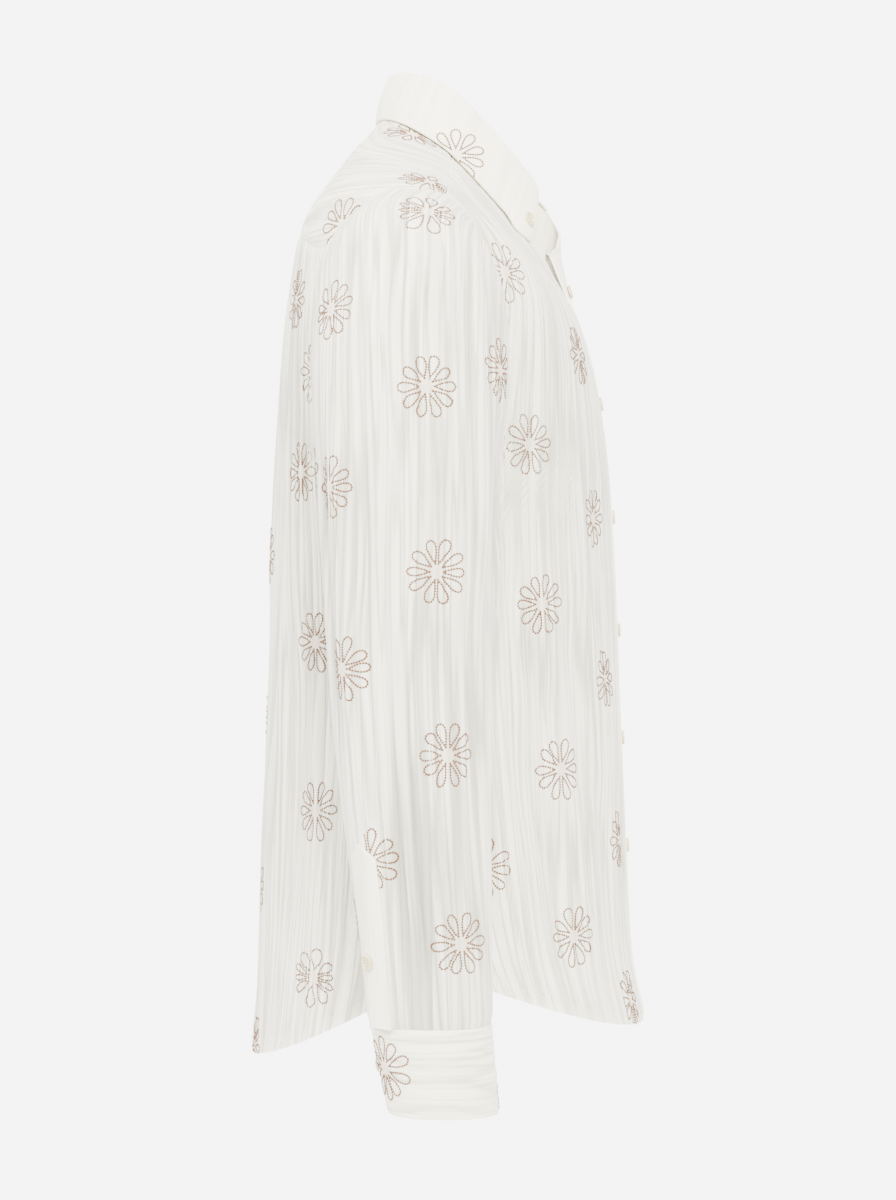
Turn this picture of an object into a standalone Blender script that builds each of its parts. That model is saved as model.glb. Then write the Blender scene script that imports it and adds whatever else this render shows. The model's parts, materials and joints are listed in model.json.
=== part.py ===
"""Embroidered long-sleeved shirt in crinkled cotton, filled out as worn, with no wearer.

Sizes are in millimetres and become metres when a mesh is made. The shirt faces -Y, its own
right sleeve is at -X, and the origin is the centre of the neck opening, where a wearer's neck
and shoulders hold it up.

The body is one closed form, given by rings from the neck seam (ring 0) down to the hem
(ring 13). A point on it has an angle, 0 at the centre front, 90 degrees at the wearer's left
side and 180 at the centre back, and a level, which is the ring number. Every sewn piece of the
body is a patch between seams on that form. A sleeve is a second form, ringed from the armhole
down to the cuff.
"""

import math

import bmesh
import bpy
import numpy as np
from mathutils import Matrix, Vector

MM = 0.001

# Driving sizes
CLOTH = 1.2  # wall of a single layer of crinkled cotton
DOUBLE = 1.6  # wall of the plackets, the stand and the cuffs, which are two layers
COLLAR = 1.8  # wall of the collar leaf, with its interlining
SEAM_HALF = 0.16  # half of the space between two pieces at a seam
REST = 0.35  # space under a piece that lies on another
BAND_HALF = 15.0  # half the width of the front bands
BAND_SEAM = 17.0  # distance from the centre front to the seam under the upper band
LAP = DOUBLE + REST  # height of the upper band over the lower one
LAP_FADE_X = 52.0  # distance from the centre front where the left front lies level again
BUTTON_RADIUS = 5.6
BUTTON_HEIGHT = 2.6
BUTTON_TOP = 0.84  # radius of a button's upper face, as a share of its rim
FRONT_BUTTON_Z = (-96.0, -186.0, -276.0, -366.0, -452.0, -538.0)
ROLL_RADIUS = 3.4  # outer radius of the collar's fold
STAND_TOP = 0.3  # the stand ends this far above the centre of that fold
ROLL_TILTS = (150, 110, 70, 30)  # places of the leaf's points round the fold, in degrees
LAP_ENDS = (13.0, 28.0)  # angles between which the stand's left end rises over the right one
LEAF_LIFT = 2.7  # the leaf's outer face stands this far off the body at its edge
LEAF_BULGE = 2.2  # and bows out this far on its way down

# Body rings. side is the point at 90 degrees, front and back are on the centre plane, and
# the fullness is the power of the superellipse: 2 is an ellipse, 3 is nearly a rounded box.
# side_x, side_y, side_z, front_y, front_z, back_y, back_z, front_fullness, back_fullness
BODY_RINGS = np.array(
    [
        (68, 14, 6, -69, -71, 66, 42, 1.75, 2.2),
        (105, 18, -8, -74, -84, 77, 26, 1.75, 2.3),
        (140, 22, -21, -79, -97, 91, 8, 1.8, 2.5),
        (175, 26, -33, -84, -111, 105, -15, 1.95, 2.7),
        (205, 30, -46, -89.5, -127, 118, -37, 2.1, 2.9),
        (211, 33, -75, -95.5, -146, 128, -57, 2.25, 3.0),
        (206, 36, -125, -102, -172, 135, -86, 2.3, 3.0),
        (199, 38, -190, -108, -208, 143, -140, 2.3, 2.9),
        (194, 40, -262, -113, -255, 149, -225, 2.3, 2.7),
        (191, 34, -345, -118, -345, 154, -330, 2.3, 2.5),
        (190, 28, -430, -121, -430, 158, -425, 2.3, 2.4),
        (192, 24, -520, -125, -525, 162, -540, 2.3, 2.4),
        (197, 21, -585, -130, -620, 165, -640, 2.3, 2.4),
        (200, 20, -612, -140, -671, 169, -694, 2.3, 2.4),
    ],
    dtype=float,
)
NECK, HEM = 0, len(BODY_RINGS) - 1

# Armhole seam seen from the side, from the shoulder point down the front, under the arm and
# up the back: y, z
ARMHOLE = (
    (30, -46), (16, -48), (2, -59), (-7.5, -75), (-15, -95), (-20, -116), (-23.6, -138),
    (-25.7, -167), (-25.7, -205), (-20, -235), (-5, -256), (15, -264), (40, -267), (65, -262),
    (85, -248), (100, -222), (108, -190), (112, -150), (111.5, -112), (108.5, -97),
    (104.5, -86), (98, -76), (88, -65.5), (75, -56), (64, -48), (49.5, -45),
)
FRONT_YOKE_CORNER, UNDERARM, BACK_YOKE_CORNER = 1, 12, 20
BACK_YOKE_LEVEL = 5.2  # level of the back yoke seam at the centre back
YOKE_LEVEL_PART = 0.35  # share of the seam, from the centre back, that keeps this level
FRONT_YOKE_NECK = 88.0  # angle in degrees where the front yoke seam meets the neck seam

# Soft creases of the body: angle and height of each end, half width and depth. Negative
# angles are the wearer's right side, which the tension from the armhole draws out most.
BODY_CREASES = np.array(
    [
        (-66, -300, -55, -470, 16, 5.2),
        (-71, -345, -63, -560, 15, 4.6),
        (-64, -410, -50, -640, 18, 5.5),
        (-47, -330, -41, -520, 20, 3.5),
        (-30, -230, -27, -420, 21, 3.2),
        (-36, -470, -29, -650, 20, 3.8),
        (-18, -440, -16, -650, 18, 2.9),
        (-80, -430, -76, -610, 18, 4.9),
        (66, -290, 54, -480, 16, 4.9),
        (73, -360, 66, -570, 16, 4.6),
        (62, -430, 49, -645, 18, 5.2),
        (45, -320, 38, -500, 20, 3.8),
        (29, -220, 24, -400, 21, 2.9),
        (33, -480, 27, -655, 20, 3.5),
        (17, -430, 19, -640, 18, 2.9),
        (82, -440, 79, -600, 18, 4.6),
        (-104, -300, -109, -590, 20, 4.6),
        (-121, -230, -124, -520, 22, 4.9),
        (-137, -330, -139, -640, 21, 4.6),
        (-154, -170, -156, -500, 24, 4.3),
        (-169, -300, -168, -670, 21, 3.8),
        (176, -190, 178, -540, 22, 3.8),
        (161, -320, 160, -670, 21, 4.3),
        (147, -180, 145, -520, 22, 4.6),
        (131, -320, 130, -640, 21, 4.6),
        (117, -240, 114, -540, 21, 4.9),
        (101, -330, 104, -590, 18, 4.3),
    ],
    dtype=float,
)
BODY_MM_PER_RADIAN = 150.0

# Neck opening: above this stretch the unfastened top of the fronts falls apart a little.
OPEN_FROM_Z, OPEN_TO_Z = -122.0, -66.0
LEFT_OPENS = (13.0, -2.0)  # x and y move of the left front's top corner
RIGHT_OPENS = (-10.0, 4.0)
NECK_TURN = 0.3  # how far the front bands turn towards the wearer's right at the neck
FALL_FROM_X, FALL_TO_X = 20.0, 60.0  # the fall fades out between these distances
PULL_BACK = 6.0  # the right front's hollow beside the bands
PULL_X, PULL_WIDTH = -44.0, 21.0

# Sleeve rings, for the wearer's right: inner x, z; outer x, z; y of the front and the back
SLEEVE_RINGS = np.array(
    [
        (-199, -272, -243, -62, -29, 112),
        (-203, -280, -272, -98, -27, 110),
        (-206, -292, -290, -148, -24.5, 108),
        (-208, -310, -299, -212, -23.5, 105.5),
        (-209, -345, -301, -290, -21, 102),
        (-209, -400, -299, -370, -15, 98),
        (-209, -460, -296, -445, -14, 92),
        (-211, -520, -292, -515, -15, 84),
        (-213, -580, -288, -580, -16, 76),
        (-215, -640, -284, -640, -16.5, 70),
    ],
    dtype=float,
)
SLEEVE_END = len(SLEEVE_RINGS)  # the armhole is ring 0, so the last table row is this ring
SLEEVE_FULLNESS = 2.3
SLEEVE_LEVELS = (0, 0.4, 1, 1.7, 2.4, 3.1, 4, 4.7, 5.4, 6, 6.6, 7.2, 7.8, 8.4, 9, 9.5, 10)

# Sleeve creases: turn and ring of each end, half width and depth. Turn 0 is the outside of
# the sleeve, 0.25 its front, 0.5 the inside and 0.75 its back.
SLEEVE_CREASES = np.array(
    [
        (0.94, 5.0, 0.965, 9.9, 13, 6.4),
        (0.99, 6.3, 0.995, 9.9, 8, 5.9),
        (0.05, 3.6, 0.07, 7.6, 11, 2.8),
        (0.90, 3.0, 0.925, 7.4, 13, 3.6),
        (0.80, 3.2, 0.80, 7.6, 14, 3.4),
        (0.13, 4.4, 0.14, 9.0, 11, 3.1),
        (0.21, 2.6, 0.20, 6.4, 14, 3.6),
        (0.30, 4.0, 0.31, 9.2, 13, 3.6),
        (0.42, 3.4, 0.41, 8.6, 14, 4.2),
        (0.57, 3.6, 0.58, 8.8, 14, 4.2),
        (0.69, 4.0, 0.68, 9.4, 13, 3.9),
    ],
    dtype=float,
)
SLEEVE_MM_PER_TURN = 300.0
SLEEVE_MM_PER_RING = 66.0

# Cuff, for the wearer's right: centre x, half x, front y, back y, z at its top and bottom
CUFF_TOP = (-249.5, 34.5, -16.7, 67.5, -640.0)
CUFF_BOTTOM = (-251.0, 33.5, -21.6, 55.0, -702.0)
CUFF_START, CUFF_STOP = 0.75, -0.35  # turns where the lower and the upper end of the cuff lie
CUFF_RISE_TURNS = 0.1
CUFF_CORNER = 26.0
CUFF_GIRTH = 262.0
CUFF_BUTTON_INSET = 13.0

# Sleeve placket: turn of its centre line, half its width in turns, ring of its peak
PLACKET_TURN, PLACKET_HALF, PLACKET_PEAK = 0.858, 0.043, 7.93
PLACKET_POINT = 0.16  # rings between the peak and the strip's upper corners
PLACKET_LIFT = REST + 0.4 + DOUBLE  # outer face of the strip above the sleeve's
PLACKET_BUTTON = (0.846, 9.23)  # turn and ring

# Collar by angle of the neck seam: the fold's point, and the leaf edge's angle and level
# seam angle, fold_x, fold_y, fold_z, edge_angle, edge_level
COLLAR_LEFT = np.array(
    [
        (-13, -12, -69.5, -58, 0, 0),
        (0, 3, -66.5, -46, 0, 0),
        (15, 24, -65, -36, 0, 0),
        (33, 45, -64.6, -21.4, 42.7, 1.50),
        (59, 58, -41.5, 3.7, 62, 0.88),
        (86, 60, -8.5, 39.5, 86, 0.40),
        (129, 50, 27.5, 65.5, 123, 0.27),
        (180, 0, 58.4, 76.4, 180, 0.40),
    ],
    dtype=float,
)
COLLAR_RIGHT = COLLAR_LEFT[-2::-1] * (-1, -1, 1, 1, -1, 1) + (360, 0, 0, 0, 360, 0)
COLLAR_ROWS = np.concatenate([COLLAR_LEFT, COLLAR_RIGHT])
LEAF_END = 33.0  # angle of the neck seam, in degrees, where the leaf ends

OFF_WHITE = (0.84, 0.83, 0.79)
PEARL = (0.80, 0.74, 0.58)


def rows(table, at):
    """Read a table between its rows along a smooth curve through them."""
    at = np.clip(np.asarray(at, dtype=float), 0, len(table) - 1)
    index = np.clip(np.floor(at).astype(int), 0, len(table) - 2)
    t = (at - index)[..., None]
    one, two = table[index], table[index + 1]
    first, last = (index == 0)[..., None], (index == len(table) - 2)[..., None]
    zero = np.where(first, 2 * one - two, table[np.maximum(index - 1, 0)])
    three = np.where(last, 2 * two - one, table[np.minimum(index + 2, len(table) - 1)])
    return 0.5 * (
        2 * one
        + (two - zero) * t
        + (2 * zero - 5 * one + 4 * two - three) * t**2
        + (3 * one - zero - 3 * two + three) * t**3
    )


def smooth(low, high, value):
    """0 below low, 1 above high, with a soft step between them."""
    t = np.clip((value - low) / (high - low), 0, 1)
    return t * t * (3 - 2 * t)


def superellipse(angle, fullness):
    """Shares of the half width and of the half depth at an angle from the centre front."""
    s, c = np.sin(angle), np.cos(angle)
    size = (np.abs(s) ** fullness + np.abs(c) ** fullness) ** (1 / fullness)
    return s / size, c / size


def unit(vectors):
    return vectors / np.linalg.norm(vectors, axis=-1, keepdims=True)


def normals(surface, a, b, step_a=1e-3, step_b=1e-3):
    """Outward unit normals of surface(a, b), where b runs down the garment."""
    along_a = surface(a + step_a, b) - surface(a - step_a, b)
    along_b = surface(a, b + step_b) - surface(a, b - step_b)
    return unit(np.cross(along_b, along_a))


def crease(across, down, start_a, start_d, end_a, end_d, half, deep):
    """Depth of one soft trough between two points, with a low ridge on both sides."""
    run_a, run_d = end_a - start_a, end_d - start_d
    from_a, from_d = across - start_a, down - start_d
    t = np.clip((from_a * run_a + from_d * run_d) / (run_a**2 + run_d**2), 0, 1)
    off = np.hypot(from_a - t * run_a, from_d - t * run_d) / half
    ends = smooth(0, 0.3, t) * smooth(0, 0.3, 1 - t)
    return deep * ends * (1 - off**2) * np.exp(-(off**2))


def wrapped(angle):
    return (angle + math.pi) % (2 * math.pi) - math.pi


def body_form(angle, level):
    """The body's form before any crease: points in millimetres."""
    ring = rows(BODY_RINGS, level)
    front = np.cos(angle) > 0
    wide, deep = superellipse(angle, np.where(front, ring[..., 7], ring[..., 8]))
    deep = np.abs(deep)
    end_y = np.where(front, ring[..., 3], ring[..., 5])
    end_z = np.where(front, ring[..., 4], ring[..., 6])
    x = ring[..., 0] * wide
    y = ring[..., 1] + (end_y - ring[..., 1]) * deep
    z = ring[..., 2] + (end_z - ring[..., 2]) * deep
    return np.stack([x, y, z], axis=-1)


def body_creased(angle, level):
    """The body's form with its soft creases."""
    form = body_form(angle, level)
    depth = np.zeros(form.shape[:-1])
    for start, start_z, end, end_z, half, deep in BODY_CREASES:
        start_arc = math.radians(start) * BODY_MM_PER_RADIAN
        end_arc = math.radians(end) * BODY_MM_PER_RADIAN
        near = start_arc + wrapped(angle - math.radians(start)) * BODY_MM_PER_RADIAN
        depth += crease(near, form[..., 2], start_arc, start_z, end_arc, end_z, half, deep)
    return form - depth[..., None] * normals(body_form, angle, level)


def open_neck(points, side):
    """Let the unfastened top of one front, 1 left or -1 right, fall away from the other."""
    x, y, z = points[..., 0], points[..., 1], points[..., 2]
    near = smooth(OPEN_FROM_Z, OPEN_TO_Z, z) * smooth(FALL_FROM_X, -FALL_FROM_X, y)
    middle = near * (1 - smooth(FALL_FROM_X, FALL_TO_X, np.abs(x)))
    move = LEFT_OPENS if side > 0 else RIGHT_OPENS
    turned = x + move[0] * middle
    turn = -NECK_TURN * np.clip(turned, -BAND_SEAM, BAND_SEAM) * middle
    hollow = PULL_BACK * near * np.exp(-(((x - PULL_X) / PULL_WIDTH) ** 2))
    shift = np.stack([move[0] * middle, move[1] * middle + turn + hollow, 0 * x], axis=-1)
    return points + shift


def body(angle, level, side, lift=0.0):
    """A point of the finished body, on the front of the given side, raised by a lift."""
    points = body_creased(angle, level)
    raised = np.asarray(lift)[..., None] * normals(body_form, angle, level)
    return open_neck(points + raised, side)


def left_lift(angle, level):
    """The left front rises over the right one beside the centre front."""
    x = body_form(angle, level)[..., 0]
    return LAP * (1 - smooth(BAND_HALF, LAP_FADE_X, x))


def left_body(angle, level):
    return body(angle, level, 1, left_lift(angle, level))


def right_body(angle, level):
    return body(angle, level, -1)


def locate(y, z):
    """Angle and level of the points of the left half that have this y and z (Newton)."""
    angles, levels = np.meshgrid(np.radians(np.arange(4, 177, 2)), np.arange(0, 13.01, 0.1), indexing="ij")
    grid = body_form(angles, levels)
    far = (grid[..., 1] - y[:, None, None]) ** 2 + (grid[..., 2] - z[:, None, None]) ** 2
    start = far.reshape(len(y), -1).argmin(axis=1)
    angle, level = angles.ravel()[start], levels.ravel()[start]
    step = 1e-4
    for _ in range(30):
        error = np.stack([y, z], axis=-1) - body_form(angle, level)[:, 1:]
        by_angle = (body_form(angle + step, level) - body_form(angle - step, level))[:, 1:]
        by_level = (body_form(angle, level + step) - body_form(angle, level - step))[:, 1:]
        matrix = np.stack([by_angle, by_level], axis=-1) / (2 * step)
        move = np.linalg.solve(matrix, error[..., None])[..., 0]
        angle = angle + np.clip(move[:, 0], -0.15, 0.15)
        level = np.clip(level + np.clip(move[:, 1], -0.4, 0.4), 0, HEM)
    return angle, level


def lengths(points):
    """Distance along a line of points, from its start."""
    steps = np.linalg.norm(np.diff(points, axis=0), axis=1)
    return np.concatenate([[0.0], np.cumsum(steps)])


def evenly(angle, level, count):
    """Count + 1 points at even steps along a line on the body, as angle and level pairs."""
    run = lengths(body_form(angle, level))
    at = np.linspace(0, run[-1], count + 1)
    return np.stack([np.interp(at, run, angle), np.interp(at, run, level)], axis=-1)


def closed_curve(points, between):
    """A smooth closed curve through the points, with this many steps between two of them."""
    ring = np.array(points, dtype=float)
    extended = np.concatenate([ring[-1:], ring, ring[:2]])
    at = 1 + np.arange(len(ring) * between) / between
    return rows(extended, at)


ARMHOLE_STEPS = 12
_curve = closed_curve(ARMHOLE, ARMHOLE_STEPS)
_angle, _level = locate(_curve[:, 0], _curve[:, 1])
_angle, _level = np.append(_angle, _angle[0]), np.append(_level, _level[0])
_under = UNDERARM * ARMHOLE_STEPS
_run = lengths(body_form(_angle, _level))
_turn = np.where(
    _run <= _run[_under],
    0.5 * _run / _run[_under],
    0.5 + 0.5 * (_run - _run[_under]) / (_run[-1] - _run[_under]),
)
FRONT_CORNER = _turn[FRONT_YOKE_CORNER * ARMHOLE_STEPS]
BACK_CORNER = _turn[BACK_YOKE_CORNER * ARMHOLE_STEPS]


def armhole(turn):
    """Angle and level of the armhole seam, as pairs, at a turn of the sleeve."""
    turn = np.asarray(turn) % 1.0
    return np.stack([np.interp(turn, _turn, _angle), np.interp(turn, _turn, _level)], axis=-1)


# Steps of the sewn seams, shared by the pieces that meet there
SIDE_STEPS, ARM_FRONT, ARM_BACK, ARM_YOKE = 11, 13, 13, 5
CENTRE_STEPS, NECK_STEPS = 18, 6
FRONT_COLUMNS, BACK_COLUMNS, YOKE_ROWS = 16, 20, 8
BAND_COLUMNS, PLACKET_ROWS = 4, 10
RELAX_STEPS = 2  # smoothing passes over a patch's inner points

TURNS = np.concatenate(
    [
        np.linspace(FRONT_CORNER, 0.5, ARM_FRONT + 1)[:-1],
        np.linspace(0.5, BACK_CORNER, ARM_BACK + 1)[:-1],
        np.linspace(BACK_CORNER, 1 + FRONT_CORNER, ARM_YOKE + 1)[:-1],
    ]
)


def sleeve_form(turn, ring):
    """The right sleeve before any crease, from the armhole (ring 0) to the cuff seam."""
    turn, ring = np.broadcast_arrays(np.asarray(turn, float), np.asarray(ring, float))
    seam = armhole(turn)
    start = body_creased(seam[..., 0], seam[..., 1]) * (-1, 1, 1)
    wide, deep = superellipse(2 * math.pi * turn, SLEEVE_FULLNESS)
    stations = [start]
    for inner_x, inner_z, outer_x, outer_z, front_y, back_y in SLEEVE_RINGS:
        x = (inner_x + outer_x) / 2 + (outer_x - inner_x) / 2 * deep
        y = (front_y + back_y) / 2 + (front_y - back_y) / 2 * wide
        z = (inner_z + outer_z) / 2 + (outer_z - inner_z) / 2 * deep
        stations.append(np.stack([x, y, z], axis=-1))
    stations = np.stack(stations)
    ring = np.clip(ring, 0, SLEEVE_END)
    index = np.clip(np.floor(ring).astype(int), 0, SLEEVE_END - 1)
    t = (ring - index)[..., None]

    def station(number):
        number = np.clip(number, 0, SLEEVE_END)
        return np.take_along_axis(stations, number[None, ..., None], axis=0)[0]

    one, two = station(index), station(index + 1)
    zero = np.where((index == 0)[..., None], 2 * one - two, station(index - 1))
    three = np.where((index == SLEEVE_END - 1)[..., None], 2 * two - one, station(index + 2))
    return 0.5 * (
        2 * one
        + (two - zero) * t
        + (2 * zero - 5 * one + 4 * two - three) * t**2
        + (3 * one - zero - 3 * two + three) * t**3
    )


def sleeve_normals(turn, ring):
    """Outward normals of the right sleeve, one-sided at its two ends."""
    h = 2e-3
    upper, lower = np.clip(ring - h, 0, SLEEVE_END), np.clip(ring + h, 0, SLEEVE_END)
    around = sleeve_form(turn + h, ring) - sleeve_form(turn - h, ring)
    down = sleeve_form(turn, lower) - sleeve_form(turn, upper)
    return unit(np.cross(down, around))


def sleeve(turn, ring, lift=0.0):
    """The right sleeve with its creases, which fade out at the armhole and the cuff."""
    turn, ring = np.broadcast_arrays(np.asarray(turn, float), np.asarray(ring, float))
    depth = np.zeros(turn.shape)
    for row in SLEEVE_CREASES:
        near = wrapped((turn - row[0]) * 2 * math.pi) / (2 * math.pi) + row[0]
        scale = (SLEEVE_MM_PER_TURN, SLEEVE_MM_PER_RING)
        depth += crease(near * scale[0], ring * scale[1], *(row[:4] * (scale * 2)), *row[4:])
    from_placket = np.abs(wrapped((turn - PLACKET_TURN) * 2 * math.pi)) / (2 * math.pi)
    under_placket = smooth(PLACKET_PEAK - 0.6, PLACKET_PEAK, ring)
    depth *= 1 - under_placket * (1 - smooth(PLACKET_HALF, 2 * PLACKET_HALF, from_placket))
    return sleeve_form(turn, ring) + (lift - depth)[..., None] * sleeve_normals(turn, ring)


def mirrored(points):
    return points * (-1, 1, 1)


def mitre(normal_a, normal_b):
    """The vector that leads from a seam to the inner edge of two walls of unit thickness."""
    dot = np.maximum((normal_a * normal_b).sum(axis=-1, keepdims=True), -0.7)
    return (normal_a + normal_b) / (1 + dot)


def trim(outer, inward, around=False):
    """Move the edges of a grid in from its seams, the inner layer with the outer one."""
    move = np.zeros_like(outer)
    edges = [(0, 1, 0), (-1, -2, 0)]
    if not around:
        edges += [(0, 1, 1), (-1, -2, 1)]
    for edge, next_in, axis in edges:
        line, inside = np.take(outer, edge, axis), np.take(outer, next_in, axis)
        wall_way = np.take(inward, edge, axis)
        after = np.roll(line, -1, axis=0) - line
        before = line - np.roll(line, 1, axis=0)
        if not around:
            after[-1], before[0] = before[-1], after[0]
        ways = [unit(np.cross(step, wall_way)) for step in (before, after)]
        ways = [way * np.sign((way * (inside - line)).sum()) for way in ways]
        away = mitre(*ways)
        if axis == 0:
            move[edge] += SEAM_HALF * away
        else:
            move[:, edge] += SEAM_HALF * away
    return move


def material(name, colour, roughness):
    made = bpy.data.materials.get(name)
    if made is None:
        made = bpy.data.materials.new(name)
        made.use_nodes = True
        shader = made.node_tree.nodes["Principled BSDF"]
        shader.inputs["Base Color"].default_value = (*colour, 1)
        shader.inputs["Roughness"].default_value = roughness
        shader.inputs["Metallic"].default_value = 0
    return made


def add_object(name, mesh, finish):
    made = bpy.data.objects.new(name, mesh)
    if not mesh.materials:
        mesh.materials.append(finish)
    SHIRT.objects.link(made)
    return made


def wall(name, outer, outward, thickness, finish, around=False, seams=True):
    """A cloth wall: a grid of outer points, the same grid moved in, and rims between them.

    outward holds the unit normals, or mitre vectors where the wall turns into another one.
    """
    move = trim(outer, outward, around) if seams else 0
    layers = (outer + move, outer + move - thickness * outward)
    height, width = outer.shape[:2]
    grid = bmesh.new()
    verts = [
        [[grid.verts.new(Vector(point) * MM) for point in line] for line in layer]
        for layer in layers
    ]
    columns = width if around else width - 1
    for i in range(height - 1):
        for j in range(columns):
            k = (j + 1) % width
            for layer in verts:
                grid.faces.new((layer[i][j], layer[i][k], layer[i + 1][k], layer[i + 1][j]))
    top, low = verts
    for i in (0, height - 1):
        for j in range(columns):
            k = (j + 1) % width
            grid.faces.new((top[i][j], top[i][k], low[i][k], low[i][j]))
    if not around:
        for j in (0, width - 1):
            for i in range(height - 1):
                grid.faces.new((top[i][j], top[i + 1][j], low[i + 1][j], low[i][j]))
    bmesh.ops.recalc_face_normals(grid, faces=grid.faces)
    mesh = bpy.data.meshes.new(name)
    grid.to_mesh(mesh)
    grid.free()
    mesh.shade_smooth()
    mesh.set_sharp_from_angle(angle=math.radians(50))
    return add_object(name, mesh, finish)


def patch(bottom, top, left, right):
    """Fill the grid between four lines of angle and level pairs.

    It starts as a Coons patch, and is then relaxed, which opens out the cells that the turn
    of the seam at the underarm squeezes.
    """
    v = np.linspace(0, 1, len(left))[:, None, None]
    u = np.linspace(0, 1, len(bottom))[None, :, None]
    sides = (1 - u) * left[:, None] + u * right[:, None]
    ends = (1 - v) * bottom[None] + v * top[None]
    corners = (
        (1 - u) * (1 - v) * bottom[0]
        + u * (1 - v) * bottom[-1]
        + (1 - u) * v * top[0]
        + u * v * top[-1]
    )
    grid = sides + ends - corners
    for _ in range(RELAX_STEPS):
        around = grid[:-2, 1:-1] + grid[2:, 1:-1] + grid[1:-1, :-2] + grid[1:-1, 2:]
        grid[1:-1, 1:-1] = around / 4
    return grid[..., 0], grid[..., 1]


def angle_at(x, level):
    """Angle of the front's point at this distance from the centre front."""
    ring = rows(BODY_RINGS, level)
    wide = np.abs(x) / ring[..., 0]
    deep = (1 - wide ** ring[..., 7]) ** (1 / ring[..., 7])
    return np.sign(x) * np.arctan2(wide, deep)


def centre_line(x):
    """Angle and level pairs up a line beside the centre front, from the hem to the neck."""
    level = np.linspace(HEM, NECK, 200)
    return evenly(angle_at(x, level), level, CENTRE_STEPS)


def neck_line(start, stop, count):
    """Angle and level pairs along the neck seam."""
    angle = np.linspace(start, stop, 120)
    return evenly(angle, np.zeros_like(angle), count)


def front_patch(seam_x):
    """Angles and levels of the left front, from a seam beside the centre to the side."""
    centre = centre_line(seam_x)
    neck_end = math.radians(FRONT_YOKE_NECK)
    neck = neck_line(centre[-1, 0], neck_end, NECK_STEPS)
    side_level = np.linspace(HEM, armhole(0.5)[1], 60)
    side = evenly(np.full(60, math.pi / 2), side_level, SIDE_STEPS)
    arm = armhole(np.linspace(0.5, FRONT_CORNER, ARM_FRONT + 1))
    side[-1] = arm[0]
    hem_angle = np.linspace(centre[0, 0], math.pi / 2, 80)
    hem = evenly(hem_angle, np.full(80, float(HEM)), FRONT_COLUMNS)
    left = np.concatenate([centre, neck[1:]])
    right = np.concatenate([side, arm[1:]])
    top = yoke_front_seam(FRONT_COLUMNS)
    return patch(hem, top, left, right)


def yoke_front_seam(count):
    """The front yoke seam, from the neck out to the armhole."""
    end = armhole(FRONT_CORNER)
    t = np.linspace(0, 1, 60)
    angle = math.radians(FRONT_YOKE_NECK) * (1 - t) + end[0] * t
    return evenly(angle, end[1] * t, count)


def yoke_back_seam():
    """The back yoke seam, from the left armhole over the centre back to the right one."""
    end = armhole(BACK_CORNER)
    t = np.linspace(-1, 1, 121)
    angle = math.pi + t * (math.pi - end[0])
    level = BACK_YOKE_LEVEL + (end[1] - BACK_YOKE_LEVEL) * smooth(YOKE_LEVEL_PART, 1, np.abs(t))
    return evenly(angle, level, BACK_COLUMNS)


def opposite(pairs):
    """The same line on the wearer's right, run the other way."""
    return np.stack([2 * math.pi - pairs[::-1, 0], pairs[::-1, 1]], axis=-1)


def collar_row(degrees_round):
    """The collar's table between its rows, along a smooth curve over the uneven angles."""
    keys, values = COLLAR_ROWS[:, 0], COLLAR_ROWS[:, 1:]
    slopes = np.gradient(values, keys, axis=0)
    index = np.clip(np.searchsorted(keys, degrees_round, side="right") - 1, 0, len(keys) - 2)
    step = (keys[index + 1] - keys[index])[..., None]
    t = (degrees_round - keys[index])[..., None] / step
    start, end = values[index], values[index + 1]
    leave, arrive = slopes[index] * step, slopes[index + 1] * step
    return (
        start * (2 * t**3 - 3 * t**2 + 1)
        + leave * (t**3 - 2 * t**2 + t)
        + end * (3 * t**2 - 2 * t**3)
        + arrive * (t**3 - t**2)
    )


def fold_point(degrees_round):
    """Top of the collar's fold over an angle of the neck seam."""
    fold = collar_row(degrees_round)[..., :3]
    left = (degrees_round <= 180)[..., None]
    return np.where(left, open_neck(fold, 1), open_neck(fold, -1))


def neck_point(degrees_round):
    """The neck seam, with the left end of the stand raised over the right one."""
    angle = np.radians(degrees_round)
    level = np.zeros_like(angle)
    left = left_body(angle, level)
    right = right_body(angle, level)
    return np.where((degrees_round <= 180)[..., None], left, right)


def stand_point(degrees_round, height):
    """The stand's outer face, from the neck seam (0) up to its top edge (1)."""
    bottom = neck_point(degrees_round)
    centre, up, out = roll_frame(degrees_round)
    lap = LAP * (1 - smooth(*LAP_ENDS, degrees_round))
    top = centre + STAND_TOP * up + (DOUBLE / 2 + lap)[..., None] * out
    return bottom + (top - bottom) * height[..., None]


def roll_frame(degrees_round):
    """Centre of the collar's roll, the way up the stand, and the way out of it."""
    h = 0.5
    fold = fold_point(degrees_round)
    along = fold_point(degrees_round + h) - fold_point(degrees_round - h)
    up = unit(fold - neck_point(degrees_round))
    out = unit(np.cross(along, up))
    return fold - ROLL_RADIUS * up, up, out


def leaf_rows(degrees_round):
    """Outer face of the leaf: over the fold, then down to its edge on the body."""
    row = collar_row(degrees_round)
    edge_angle, edge_level = np.radians(row[..., 3]), row[..., 4]
    edge = body_form(edge_angle, edge_level)
    edge = edge + LEAF_LIFT * normals(body_form, edge_angle, edge_level)
    centre, up, out = roll_frame(degrees_round)
    lines = []
    for tilt in ROLL_TILTS:
        reach = math.cos(math.radians(tilt)) * out + math.sin(math.radians(tilt)) * up
        lines.append(centre + ROLL_RADIUS * reach)
    start = lines[-1]
    for share in (1 / 3, 2 / 3, 1):
        bulge = LEAF_BULGE * math.sin(math.pi * share)
        lines.append(start + (edge - start) * share + bulge * out)
    return np.stack(lines)


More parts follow.
